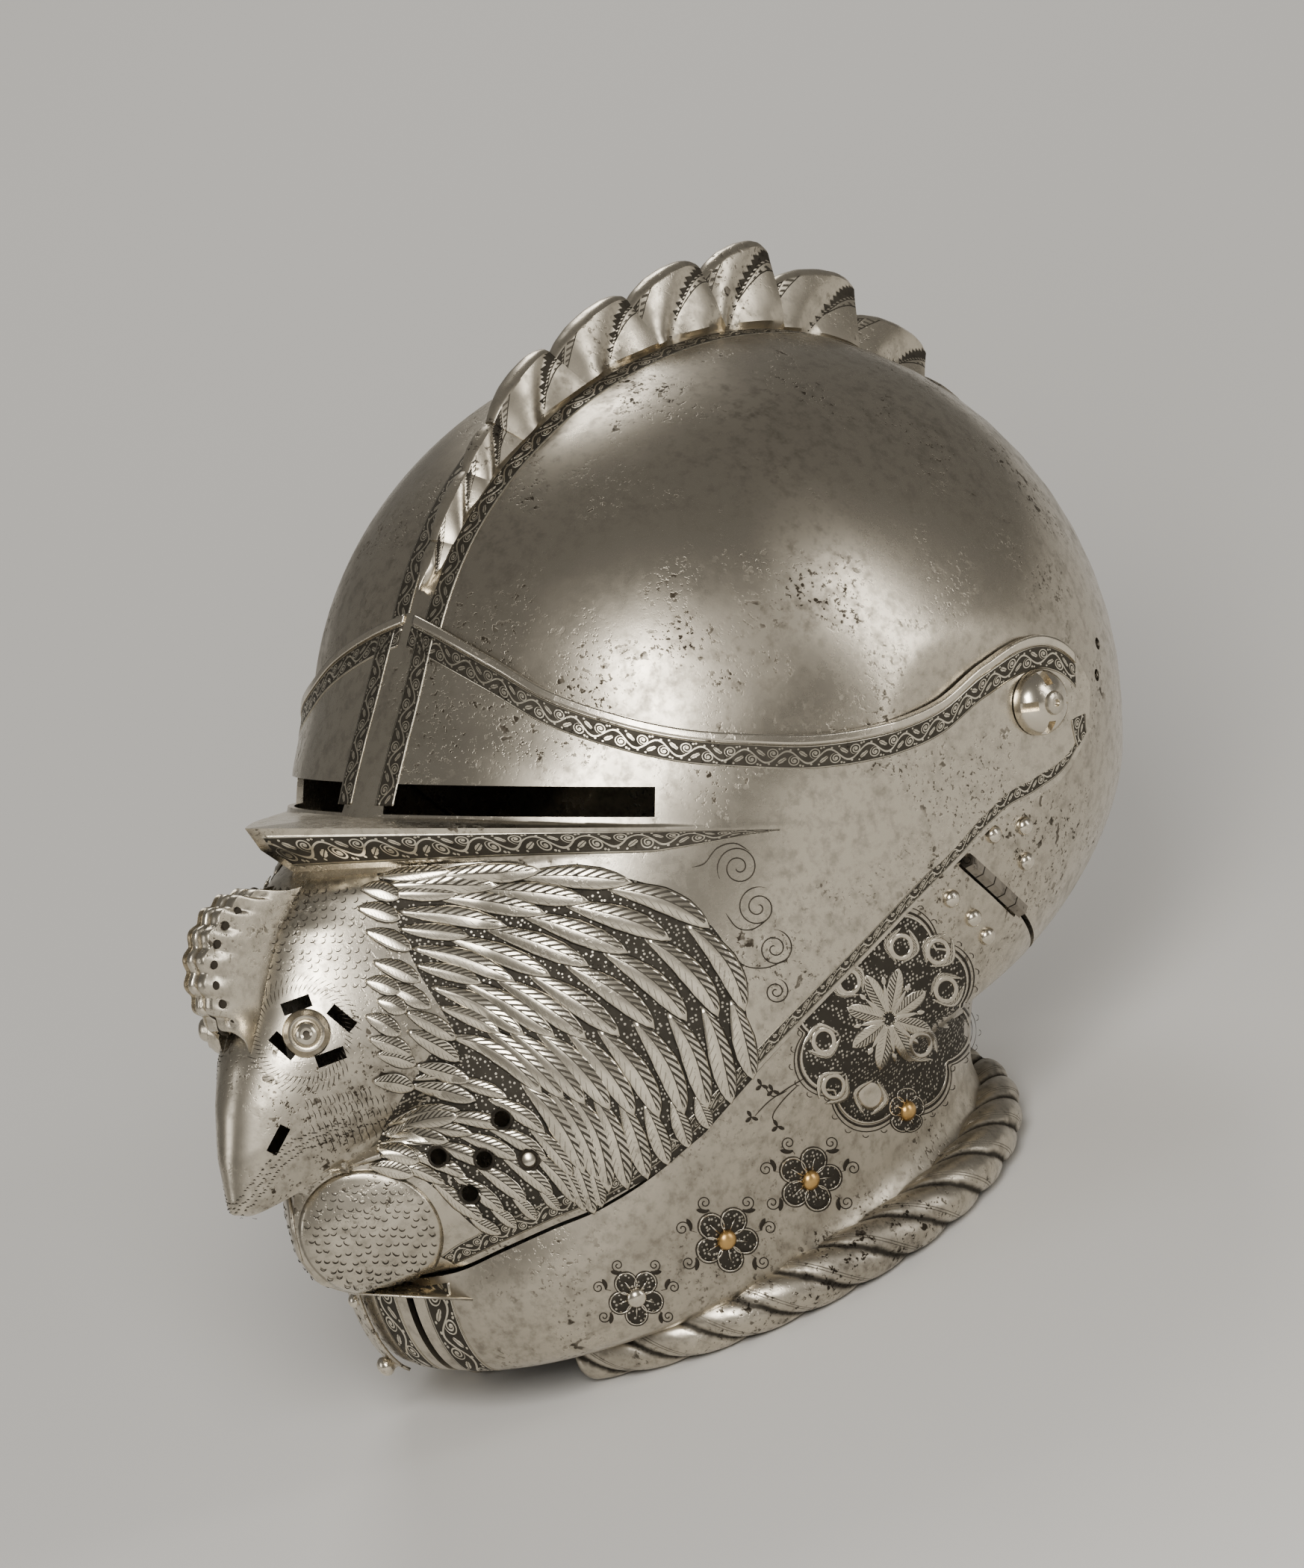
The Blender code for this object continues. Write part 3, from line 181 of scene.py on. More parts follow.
def body_point(angle, level):
    """Outer face of the bowl and cheekpieces, by angle from the front in degrees and by level."""
    angle, level = np.broadcast_arrays(np.asarray(angle, float), np.asarray(level, float))
    front_y, front_z, back_y, back_z, width, widest, square = np.moveaxis(section(level), -1, 0)
    a = np.radians(angle)
    c = np.sign(np.cos(a)) * np.abs(np.cos(a)) ** (2 / square)
    s = np.sign(np.sin(a)) * np.abs(np.sin(a)) ** (2 / square)
    share = np.where(c > 0, widest * (1 - c), widest - (1 - widest) * c)
    x = np.clip(width * s, -TEMPLE_FLAT, TEMPLE_FLAT)
    return np.stack([x, front_y + (back_y - front_y) * share, front_z + (back_z - front_z) * share], -1)


def find_level(angle, above):
    angle = np.asarray(angle, float)
    low, high = np.zeros_like(angle), np.full_like(angle, float(CROWN))
    for _ in range(26):
        middle = (low + high) / 2
        hit = above(body_point(angle, middle))
        high, low = np.where(hit, middle, high), np.where(hit, low, middle)
    return high


def level_at(angle, height):
    angle, height = np.broadcast_arrays(np.asarray(angle, float), np.asarray(height, float))
    return find_level(angle, lambda p: p[..., 2] > height)


def seam_level(angle, above):
    slope = (HINGE_END[1] - HINGE_START[1]) / (HINGE_END[0] - HINGE_START[0])
    return find_level(angle, lambda p: p[..., 2] > HINGE_START[1] + slope * (p[..., 1] - HINGE_START[0])
                      + above)


def skull_lower_level(angle):
    brow = level_at(angle, edge_height(SKULL_BROW_EDGE, angle))
    return np.where(np.abs(angle) < SEAM_START_ANGLE, brow, seam_level(angle, SEAM_GAP / 2))


def cheek_top_level(angle):
    edge = level_at(angle, edge_height(VISOR_LOWER_EDGE, angle) - CHEEK_GAP)
    seam = np.minimum(edge, seam_level(angle, -SEAM_GAP / 2))
    return np.where(np.abs(angle) < SEAM_START_ANGLE - 6, edge, seam)


def fall_off(share, power, fall):
    return np.maximum(0.0, 1.0 - np.minimum(np.abs(share), 1.0) ** power) ** fall


def visor_point(angle, row):
    """Outer face of the visor at an angle and a row of its table, which may be a fraction."""
    angle, row = np.broadcast_arrays(np.asarray(angle, float), np.asarray(row, float))
    i = np.clip(row.astype(int), 0, len(VISOR_ROWS) - 2)
    t = (row - i)[..., None]
    rise, bulge, form, form_rise, reach, power, fall = np.moveaxis(
        VISOR_ROWS[i] * (1 - t) + VISOR_ROWS[i + 1] * t, -1, 0)
    height = SKULL_CENTRE[2] + SKULL_HEIGHT * rise
    top, low = edge_height(VISOR_TOP_EDGE, angle), edge_height(VISOR_LOWER_EDGE, angle)
    sight = np.maximum(SIGHT_LEVEL, low + 0.35 * (top - low))
    front_top, front_low = edge_height(VISOR_TOP_EDGE, 0), edge_height(VISOR_LOWER_EDGE, 0)
    upper = sight + (height - SIGHT_LEVEL) * (top - sight) / (front_top - SIGHT_LEVEL)
    lower = sight - (SIGHT_LEVEL - height) * (sight - low) / (SIGHT_LEVEL - front_low)
    level = level_at(angle, np.where(height >= SIGHT_LEVEL, upper, lower))
    stand_off = VISOR_PLAY + VISOR_WALL
    p = body_point(angle, level)
    out = np.stack([p[..., 0] / SKULL_HALF_WIDTH, (p[..., 1] - SKULL_CENTRE[1]) / SKULL_FRONT,
                    np.zeros_like(level)], -1)
    p = p + out / np.linalg.norm(out, axis=-1, keepdims=True) * stand_off
    middle = body_point(np.zeros_like(level), level_at(np.zeros_like(level), height))[..., 1] - stand_off
    width = section(level)[..., 4]
    wide = fall_off(p[..., 0] / (width + stand_off), 2, 1.5)
    p[..., 1] += (SKULL_CENTRE[1] - bulge * SKULL_FRONT - middle) * wide
    narrow = fall_off(p[..., 0] / (reach * SKULL_HALF_WIDTH), power, fall)
    p[..., 1] -= (form - bulge) * SKULL_FRONT * narrow
    p[..., 2] += (form_rise - rise) * SKULL_HEIGHT * narrow
    from_pivot = np.hypot(p[..., 1] - PIVOT_Y, p[..., 2] - PIVOT_Z)
    flat = TEMPLE_FLAT + stand_off - np.maximum(0.0, from_pivot - ARM_FLAT_RADIUS) * 0.5
    flatten = (np.abs(p[..., 0]) < flat) & (from_pivot < 2 * ARM_FLAT_RADIUS)
    side = np.where(p[..., 0] < 0, -1.0, 1.0)
    p[..., 0] = np.where(flatten, side * flat, p[..., 0])
    return p


def to_rest(p):
    """Points of the worn frame in the rest frame."""
    return np.asarray(p) @ TO_REST.T + WORN_ORIGIN + COLLAR_MIDDLE


def way_to_rest(way):
    """A way of the worn frame in the rest frame."""
    return np.asarray(way) @ TO_REST.T


def mirror(p, side):
    return np.asarray(p) * np.array([side, 1.0, 1.0])


def drill_way(side):
    """The way that the mask's openings were cut along, in the rest frame."""
    return way_to_rest(mirror(DRILL_WAY, side))


class Skin:
    """Fine net of points and normals over the left half of a plate, for laying things on it."""

    def __init__(self, place, columns, rows):
        a, r = np.meshgrid(columns, rows, indexing="ij")
        p = place(a, r)
        across = np.gradient(p, axis=0)
        along = np.gradient(p, axis=1)
        n = np.cross(across, along)
        n /= np.linalg.norm(n, axis=-1, keepdims=True) + 1e-12
        centre = np.array([0.0, 0.0, -0.02])
        n *= np.sign(np.sum(n * (p - centre), -1))[..., None]
        self.p, self.n = p.reshape(-1, 3), n.reshape(-1, 3)
        self.seen = np.flatnonzero((self.n @ TO_CAMERA) > 0.05)
        px = picture(self.p)
        self.tree, self.flat_tree = KDTree(len(self.p)), KDTree(len(self.seen))
        for k, q in enumerate(self.p):
            self.tree.insert(q, k)
        for k in self.seen:
            self.flat_tree.insert((px[k, 0], px[k, 1], 0.0), int(k))
        self.tree.balance()
        self.flat_tree.balance()

    def settle(self, points, lift=0.0):
        """Places on the plate nearest to some points, and its normals there."""
        points = np.asarray(points, float)
        flat = points.reshape(-1, 3)
        near = np.array([self.tree.find(q)[1] for q in flat])
        v, n = self.p[near], self.n[near]
        lift = np.broadcast_to(lift, points.shape[:-1]).reshape(-1, 1)
        out = flat - ((flat - v) * n).sum(1, keepdims=True) * n + n * lift
        return out.reshape(points.shape), n.reshape(points.shape)

    def under(self, spots, lift=0.0):
        """Places on the plate that lie under spots of the front picture's plane."""
        spots = np.asarray(spots, float)
        flat = spots.reshape(-1, 2)
        near = np.array([self.flat_tree.find((q[0], q[1], 0.0))[1] for q in flat])
        v, n = self.p[near], self.n[near]
        ray = unpicture(flat)
        t = ((v - ray) * n).sum(1) / np.maximum(n @ TO_CAMERA, 0.12)
        lift = np.broadcast_to(lift, spots.shape[:-1]).reshape(-1, 1)
        out = ray + t[:, None] * TO_CAMERA + n * lift
        shape = spots.shape[:-1] + (3,)
        return out.reshape(shape), n.reshape(shape)


# The picture's plane: 4.7 spots to a millimetre, seen along one direction
TO_CAMERA = np.array([0.7427, -0.6686, 0.0350])
TO_CAMERA /= np.linalg.norm(TO_CAMERA)
PICTURE = np.array([[3144.0, 3493.0, 0.0], [122.0, -110.0, -4697.0]])
PICTURE_MIDDLE = np.array([976.0, 1047.0])


def picture(p):
    return p @ PICTURE.T + PICTURE_MIDDLE


def unpicture(spots):
    """One point of each spot's line of sight."""
    return (spots - PICTURE_MIDDLE) @ np.linalg.pinv(PICTURE).T


# Making pieces from nets of points
def net_into(bm, points, uv=None):
    """Add a grid whose corners are moved to a net of points, with its spots in the pattern map."""
    n, m = points.shape[:2]
    layer = bm.loops.layers.uv.verify()
    made = bmesh.ops.create_grid(bm, x_segments=n - 1, y_segments=m - 1, size=1.0)["verts"]
    spots = {}
    for v in made:
        i = round((v.co.x + 1) / 2 * (n - 1))
        j = round((v.co.y + 1) / 2 * (m - 1))
        v.co = points[i, j]
        spots[v] = (i / (n - 1), j / (m - 1)) if uv is None else uv[i, j]
    for face in {f for v in made for f in v.link_faces}:
        for loop in face.loops:
            loop[layer].uv = spots[loop.vert]
    return made


def big_net(name, points, uv=None):
    """Mesh of one large net."""
    n, m = points.shape[:2]
    bm = bmesh.new()
    bmesh.ops.create_grid(bm, x_segments=n - 1, y_segments=m - 1, size=1.0)
    mesh = bpy.data.meshes.new(name)
    bm.to_mesh(mesh)
    bm.free()
    co = np.empty(len(mesh.vertices) * 3)
    mesh.vertices.foreach_get("co", co)
    i = np.rint((co[0::3] + 1) / 2 * (n - 1)).astype(int)
    j = np.rint((co[1::3] + 1) / 2 * (m - 1)).astype(int)
    mesh.vertices.foreach_set("co", points[i, j].ravel())
    if uv is not None:
        corner = np.empty(len(mesh.loops), dtype=np.int32)
        mesh.loops.foreach_get("vertex_index", corner)
        mesh.uv_layers.new(name="UVMap").data.foreach_set("uv", uv[i[corner], j[corner]].ravel())
    mesh.update()
    return mesh


def mesh_of(bm, name, weld=0.0):
    if weld:
        bmesh.ops.remove_doubles(bm, verts=bm.verts, dist=weld)
        bmesh.ops.dissolve_degenerate(bm, edges=bm.edges, dist=1e-7)
    mesh = bpy.data.meshes.new(name)
    bm.to_mesh(mesh)
    bm.free()
    return mesh


def face_out(mesh, inside=None):
    """Turn a mesh's faces out: by its volume if it is closed, else away from a point."""
    bm = bmesh.new()
    bm.from_mesh(mesh)
    bmesh.ops.remove_doubles(bm, verts=bm.verts, dist=2e-7)
    bmesh.ops.recalc_face_normals(bm, faces=bm.faces)
    if inside is None:
        facing = bm.calc_volume(signed=True)
    else:
        middle = Vector(inside)
        facing = sum(f.calc_area() * f.normal.dot((f.calc_center_median() - middle).normalized())
                     for f in bm.faces)
    if facing < 0:
        bmesh.ops.reverse_faces(bm, faces=bm.faces)
    bm.to_mesh(mesh)
    bm.free()
    return mesh


def turn_nets_out(bm, made, outward):
    """Turn one net's faces to look along a way."""
    faces = list({f for v in made for f in v.link_faces})
    for f in faces:
        f.normal_update()
    if sum(f.calc_area() * f.normal.dot(outward) for f in faces) < 0:
        bmesh.ops.reverse_faces(bm, faces=faces)


SHARP_ANGLE = math.radians(38)


def piece(name, mesh, body, material, replaces=()):
    """Object of a mesh at the origin, on its body, standing in for the parts it replaces."""
    obj = bpy.data.objects.new(name, mesh)
    bpy.context.scene.collection.objects.link(obj)
    mesh.materials.append(material)
    mesh.shade_smooth()
    mesh.set_sharp_from_angle(angle=SHARP_ANGLE)
    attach(obj, body)
    if replaces:
        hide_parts(*replaces)
    return obj


def wall(obj, thickness):
    """Give a net its thickness, inwards from its outer face."""
    mod = obj.modifiers.new("wall", "SOLIDIFY")
    mod.thickness = thickness
    mod.offset = -1.0


def settle_modifiers(obj):
    """Fix a piece's modifiers into its mesh."""
    depsgraph = bpy.context.evaluated_depsgraph_get()
    depsgraph.update()
    done = bpy.data.meshes.new_from_object(obj.evaluated_get(depsgraph), depsgraph=depsgraph)
    obj.modifiers.clear()
    obj.data = done
    done.shade_smooth()
    done.set_sharp_from_angle(angle=SHARP_ANGLE)


def cut(obj, mesh):
    """Cut the shapes of a mesh out of a piece."""
    guide = bpy.data.objects.new("guide", mesh)
    bpy.context.scene.collection.objects.link(guide)
    mod = obj.modifiers.new("cut", "BOOLEAN")
    mod.operation = "DIFFERENCE"
    mod.object = guide
    mod.solver = "EXACT"
    settle_modifiers(obj)
    bpy.data.objects.remove(guide)


def turned_net(middle, way, profile, sides):
    """Net of a turned shape: radius and height pairs about a way out of a middle point."""
    way = np.asarray(way, float) / np.linalg.norm(way)
    side = np.cross(way, [0.0, 0.0, 1.0])
    if np.linalg.norm(side) < 1e-3:
        side = np.array([1.0, 0.0, 0.0])
    side /= np.linalg.norm(side)
    up = np.cross(way, side)
    a = np.linspace(0, 2 * np.pi, sides + 1)
    profile = np.array(profile, float)
    ring = np.cos(a)[:, None] * side + np.sin(a)[:, None] * up
    return (np.asarray(middle) + profile[None, :, :1] * ring[:, None, :]
            + profile[None, :, 1:] * way)


# Shader patterns
class Value:
    """A number in a node tree that can be worked with like a plain one."""

    def __init__(self, tree, socket):
        self.tree, self.socket = tree, socket

    def _do(self, operation, *others):
        node = self.tree.nodes.new("ShaderNodeMath")
        node.operation = operation
        for slot, item in enumerate((self, *others)):
            if isinstance(item, Value):
                self.tree.links.new(item.socket, node.inputs[slot])
            else:
                node.inputs[slot].default_value = item
        return Value(self.tree, node.outputs[0])

    def __add__(self, other):
        return self._do("ADD", other)

    def __sub__(self, other):
        return self._do("SUBTRACT", other)

    def __rsub__(self, other):
        return self * -1.0 + other

    def __mul__(self, other):
        return self._do("MULTIPLY", other)

    def __truediv__(self, other):
        return self._do("DIVIDE", other)

    def less(self, other):
        return self._do("LESS_THAN", other)

    def more(self, other):
        return self._do("GREATER_THAN", other)

    def either(self, other):
        return self._do("MAXIMUM", other)

    def both(self, other):
        return self._do("MINIMUM", other)

    def fraction(self):
        return self._do("FRACT")

    def whole(self):
        return self._do("FLOOR")

    def size(self):
        return self._do("ABSOLUTE")

    def cosine(self):
        return self._do("COSINE")

    def sine(self):
        return self._do("SINE")

    def root(self):
        return self._do("SQRT")

    def angle_to(self, other):
        return self._do("ARCTAN2", other)

    def soft(self, low, high, to_low=0.0, to_high=1.0):
        """Smooth step from one value to another."""
        node = self.tree.nodes.new("ShaderNodeMapRange")
        node.interpolation_type = "SMOOTHSTEP"
        self.tree.links.new(self.socket, node.inputs["Value"])
        for label, item in (("From Min", low), ("From Max", high), ("To Min", to_low), ("To Max", to_high)):
            if isinstance(item, Value):
                self.tree.links.new(item.socket, node.inputs[label])
            else:
                node.inputs[label].default_value = item
        return Value(self.tree, node.outputs["Result"])


def distance(x, y, cx, cy):
    dx, dy = x - cx, y - cy
    return (dx * dx + dy * dy).root()


def pattern_map(tree):
    """U and V of a piece's pattern map."""
    uv = tree.nodes.new("ShaderNodeUVMap")
    parts = tree.nodes.new("ShaderNodeSeparateXYZ")
    tree.links.new(uv.outputs["UV"], parts.inputs["Vector"])
    return Value(tree, parts.outputs["X"]), Value(tree, parts.outputs["Y"])


def group_start(name, inputs, outputs):
    """Node group with named inputs and outputs, and its two end nodes."""
    tree = bpy.data.node_groups.new(name, "ShaderNodeTree")
    for label, kind, default in inputs:
        sock = tree.interface.new_socket(name=label, in_out="INPUT", socket_type=kind)
        if default is not None:
            sock.default_value = default
    for label, kind in outputs:
        tree.interface.new_socket(name=label, in_out="OUTPUT", socket_type=kind)
    return tree, tree.nodes.new("NodeGroupInput"), tree.nodes.new("NodeGroupOutput")


def noise(tree, vector, scale, detail=2.0, rough=0.5):
    node = tree.nodes.new("ShaderNodeTexNoise")
    tree.links.new(vector, node.inputs["Vector"])
    node.inputs["Scale"].default_value = scale
    node.inputs["Detail"].default_value = detail
    node.inputs["Roughness"].default_value = rough
    return Value(tree, node.outputs["Fac"])


def mix_colour(tree, factor, a, b):
    node = tree.nodes.new("ShaderNodeMix")
    node.data_type = "RGBA"
    if isinstance(factor, Value):
        tree.links.new(factor.socket, node.inputs["Factor"])
    else:
        node.inputs["Factor"].default_value = factor
    for slot, item in (("A", a), ("B", b)):
        sock = [s for s in node.inputs if s.name == slot and s.type == "RGBA"][0]
        if isinstance(item, tuple):
            sock.default_value = (*item, 1.0) if len(item) == 3 else item
        else:
            tree.links.new(item, sock)
    return [s for s in node.outputs if s.type == "RGBA"][0]


def old_steel_group():
    """Worn steel: a mottled tone, pits in clusters and a fine grain."""
    tree, inn, out = group_start(
        "old_steel",
        [("Bright", "NodeSocketColor", (0.60, 0.57, 0.50, 1)),
         ("Dark", "NodeSocketColor", (0.10, 0.09, 0.075, 1)),
         ("Mottle", "NodeSocketFloat", 0.5), ("Pits", "NodeSocketFloat", 0.5),
         ("Polish", "NodeSocketFloat", 0.30)],
        [("Colour", "NodeSocketColor"), ("Roughness", "NodeSocketFloat"), ("Height", "NodeSocketFloat")])
    place = tree.nodes.new("ShaderNodeTexCoord").outputs["Object"]
    mottle_in, pits_in = Value(tree, inn.outputs["Mottle"]), Value(tree, inn.outputs["Pits"])
    clouds = noise(tree, place, 14.0, 5.0, 0.62)
    fine = noise(tree, place, 260.0, 3.0, 0.65)
    specks = noise(tree, place, 620.0, 2.0, 0.7)
    clusters = noise(tree, place, 34.0, 3.0, 0.6)
    stain = clouds.soft(0.46, 0.72) * mottle_in
    grain = fine.soft(0.40, 0.75) * mottle_in * 0.45
    speck = specks.soft(0.56, 0.66) * clusters.soft(0.44, 0.66) * pits_in
    spots = noise(tree, place, 230.0, 2.0, 0.55).soft(0.645, 0.69) * clusters.soft(0.46, 0.62) * pits_in
    marks = (speck + spots).both(1.0)
    tone = (stain * 0.45 + grain + marks * 0.80).both(1.0)
    tree.links.new(mix_colour(tree, tone, inn.outputs["Bright"], inn.outputs["Dark"]), out.inputs["Colour"])
    rough = Value(tree, inn.outputs["Polish"]) + stain * 0.22 + grain * 0.25 + marks * 0.35
    tree.links.new(rough.socket, out.inputs["Roughness"])
    scratch = noise(tree, place, 1400.0, 2.0, 0.6)
    height = scratch * 0.10 + fine * 0.25 - marks
    tree.links.new(height.socket, out.inputs["Height"])
    return tree


def ground_group():
    """Etched ground: dark, with small bright dots left standing."""
    tree, inn, out = group_start("dotted_ground", [("Scale", "NodeSocketFloat", 650.0)],
                                 [("Dot", "NodeSocketFloat")])
    place = tree.nodes.new("ShaderNodeTexCoord").outputs["Object"]
    cells = tree.nodes.new("ShaderNodeTexVoronoi")
    cells.inputs["Randomness"].default_value = 0.55
    tree.links.new(place, cells.inputs["Vector"])
    tree.links.new(inn.outputs["Scale"], cells.inputs["Scale"])
    dot = Value(tree, cells.outputs["Distance"]).soft(0.24, 0.34, 1.0, 0.0)
    tree.links.new(dot.socket, out.inputs["Dot"])
    return tree


def scroll_group():
    """Vine scroll along a band: U counts the band's widths and V runs across it."""
    tree, inn, out = group_start("vine_scroll", [("Repeat", "NodeSocketFloat", 0.92)],
                                 [("Bright", "NodeSocketFloat")])
    u, v = pattern_map(tree)
    repeat = Value(tree, inn.outputs["Repeat"])
    step = (u / repeat).whole()
    flip = (step * 0.5).fraction() * 2.0
    h = u - step * repeat
    t0 = (v - 0.5) / 0.84 + 0.5
    t = t0 + flip * (t0 * -2.0 + 1.0)
    stem_line = (h / repeat * math.pi).cosine() * -0.30 + 0.5
    stem = (t - stem_line).size().less(0.045)
    d = distance(h, t, 0.30, 0.66)
    turn = (t - 0.66).angle_to(h - 0.30) / (2 * math.pi)
    curl = ((d / 0.125 - turn + 2.0).fraction() - 0.5).size().less(0.21) * d.less(0.265)
    eye = d.less(0.055)
    lx, ly = h - 0.68, t - 0.33
    along, across = lx * 0.80 + ly * 0.60, ly * 0.80 - lx * 0.60
    leaf = ((along * along) / 0.050 + (across * across) / 0.0085).less(1.0) * across.size().more(0.014)
    tip = ((along + 0.02) * 14.0).sine() * 0.035
    leaf = leaf.both((across.size() + tip).less(0.105))
    dots = distance(h, t, 0.56, 0.90).less(0.05).either(distance(h, t, 0.68, 0.93).less(0.045))
    dots = dots.either(distance(h, t, 0.12, 0.14).less(0.05)).either(distance(h, t, 0.46, 0.10).less(0.045))
    drawn = stem.either(curl).either(eye).either(leaf).either(dots)
    edge = (v - 0.5).size()
    rim = edge.more(0.43) * edge.less(0.465)
    outer = edge.more(0.485)
    tree.links.new((drawn * edge.less(0.42)).either(rim).either(outer).socket, out.inputs["Bright"])
    return tree


def feather_group():
    """Barbs of a feather: U runs from root to tip and V across, with the quill in the middle."""
    tree, inn, out = group_start("feather_barbs", [("Barbs", "NodeSocketFloat", 16.0)],
                                 [("Dark", "NodeSocketFloat")])
    u, v = pattern_map(tree)
    barbs = Value(tree, inn.outputs["Barbs"])
    half = v - 0.5
    line = u * barbs + half.size() * -4.2
    near = line.fraction().less(0.46) * half.less(-0.06) * half.more(-0.42)
    far = (line + 0.5).fraction().less(0.16) * half.more(0.16) * half.less(0.40)
    edge = half.size().more(0.455)
    quill = (half + 0.045).size().less(0.022)
    dark = (near.either(quill) * u.more(0.06) * u.less(0.93)).either(far * 0.6 * u.less(0.9)).either(edge)
    tree.links.new(dark.socket, out.inputs["Dark"])
    return tree


def plume_group():
    """Fold of a crest plume, its root groove darkened with painted shade between bright beads, with etched
    hatch and rim: U runs over one plume and V from its foot to its edge.
    """
    tree, inn, out = group_start("plume_lines_and_groove_shade", [("Rows", "NodeSocketFloat", 15.0)],
                                 [("Dark", "NodeSocketFloat")])
    u, v = pattern_map(tree)
    rows = Value(tree, inn.outputs["Rows"])
    from_root = u - v * 0.16
    # painted shade in the groove at each plume's root, broken by bright beads
    groove_shade = from_root.less(0.055)
    bead = ((v * rows * 1.6).fraction() - 0.5).size().less(0.22) * (from_root - 0.028).size().less(0.014)
    hatch = (v * rows + u * 6.0).fraction().less(0.42) * from_root.more(0.085) * (
        u - (v * 0.50 - 0.10)).less(0.0)
    rim = (u - (v * 0.50 - 0.085)).size().less(0.012) * u.more(0.1)
    dark = (groove_shade * (bead * -1.0 + 1.0)).either(hatch * 0.9).either(rim) * v.less(0.93)
    tree.links.new(dark.socket, out.inputs["Dark"])
    return tree


def rope_groove_shade_group():
    """Painted shade in the grooves of the roped rim, dark where the strands meet: U counts its turns."""
    tree, inn, out = group_start("rope_groove_shade", [("Width", "NodeSocketFloat", 0.15)],
                                 [("Dark", "NodeSocketFloat")])
    u, _ = pattern_map(tree)
    place = tree.nodes.new("ShaderNodeTexCoord").outputs["Object"]
    ragged = (noise(tree, place, 220.0, 3.0) - 0.5) * 0.16
    # painted shade: dark along each groove between the strands, and fainter near a shallower thread groove
    edge = 0.5 - ((u + ragged).fraction() - 0.5).size()
    line = edge.soft(0.02, Value(tree, inn.outputs["Width"]), 1.0, 0.0)
    thin_groove_shade = (((u + 0.22).fraction() - 0.5).size() - 0.03).size().less(0.012) * 0.6
    tree.links.new(line.either(thin_groove_shade).socket, out.inputs["Dark"])
    return tree


GROUPS = {"plume": plume_group(), "twist": rope_groove_shade_group(), "steel": old_steel_group(),
          "ground": ground_group(), "scroll": scroll_group(), "feather": feather_group()}
# Dark of the etched patterns, and of the painted shade in the grooves of the rope and the plumes
ETCHED_AND_SHADE_DARK = (0.030, 0.026, 0.021)
STEEL_RELIEF = 0.00012


def use_group(tree, kind, **values):
    node = tree.nodes.new("ShaderNodeGroup")
    node.node_tree = GROUPS[kind]
    for label, value in values.items():
        node.inputs[label].default_value = (*value, 1.0) if isinstance(value, tuple) else value
    return node


def steel(name, bright, dark, mottle, pits, polish, pattern=None):
    """Steel finish, with a dark pattern over it where one is named: etched lines and grounds, and painted
    shade in the grooves of the rope and the crest's plumes.
    """
    mat = bpy.data.materials.new(name)
    mat.use_nodes = True
    tree = mat.node_tree
    shader = tree.nodes["Principled BSDF"]
    shader.inputs["Metallic"].default_value = 1.0
    base = use_group(tree, "steel", Bright=bright, Dark=dark, Mottle=mottle, Pits=pits, Polish=polish)
    colour, rough = base.outputs["Colour"], Value(tree, base.outputs["Roughness"])
    height = Value(tree, base.outputs["Height"])
    if pattern:
        kind, label, inverse, values = pattern
        etched_and_shade = Value(tree, use_group(tree, kind, **values).outputs[label])
        if inverse:
            etched_and_shade = etched_and_shade * -1.0 + 1.0
        # etched marks and painted groove shade both darken the colour here
        colour = mix_colour(tree, etched_and_shade * 0.93, colour, ETCHED_AND_SHADE_DARK)
        rough = rough + etched_and_shade * 0.35
        height = height - etched_and_shade * 1.5
    tree.links.new(colour, shader.inputs["Base Color"])
    tree.links.new(rough.socket, shader.inputs["Roughness"])
    bump = tree.nodes.new("ShaderNodeBump")
    bump.inputs["Distance"].default_value = STEEL_RELIEF
    bump.inputs["Strength"].default_value = 0.6
    tree.links.new(height.socket, bump.inputs["Height"])
    tree.links.new(bump.outputs["Normal"], shader.inputs["Normal"])
    return mat


BOWL_STEEL = steel("bowl_steel", (0.56, 0.51, 0.42), (0.065, 0.054, 0.040), 0.90, 1.0, 0.25)
VISOR_STEEL = steel("visor_steel", (0.60, 0.55, 0.455), (0.065, 0.054, 0.040), 0.85, 0.95, 0.24)
CHEEK_STEEL = steel("cheek_steel", (0.56, 0.51, 0.42), (0.065, 0.054, 0.040), 0.85, 0.85, 0.27)
# The rope's grooves are darkened with painted shade
ROPE_STEEL = steel("rope_steel", (0.57, 0.52, 0.43), (0.045, 0.037, 0.028), 1.0, 0.9, 0.27,
                   ("twist", "Dark", False, {"Width": 0.15}))
BRIGHT_STEEL = steel("bright_steel", (0.72, 0.66, 0.55), (0.13, 0.115, 0.09), 0.5, 0.4, 0.20)
BAND_STEEL = steel("scroll_band", (0.68, 0.625, 0.51), (0.10, 0.090, 0.07), 0.55, 0.5, 0.28,
                   ("scroll", "Bright", True, {"Repeat": 0.92}))
FEATHER_STEEL = steel("feather_steel", (0.74, 0.68, 0.56), (0.11, 0.10, 0.08), 0.5, 0.4, 0.22,
                      ("feather", "Dark", False, {"Barbs": 11.0}))
# The plumes' root grooves carry painted shade; the hatch and rim lines are etched
CREST_STEEL = steel("crest_steel", (0.66, 0.60, 0.49), (0.07, 0.06, 0.048), 0.85, 0.7, 0.24,
                    ("plume", "Dark", False, {"Rows": 15.0}))
GROUND_STEEL = steel("dotted_ground_steel", (0.56, 0.52, 0.44), (0.09, 0.08, 0.065), 0.4, 0.3, 0.36,
                     ("ground", "Dot", True, {"Scale": 780.0}))
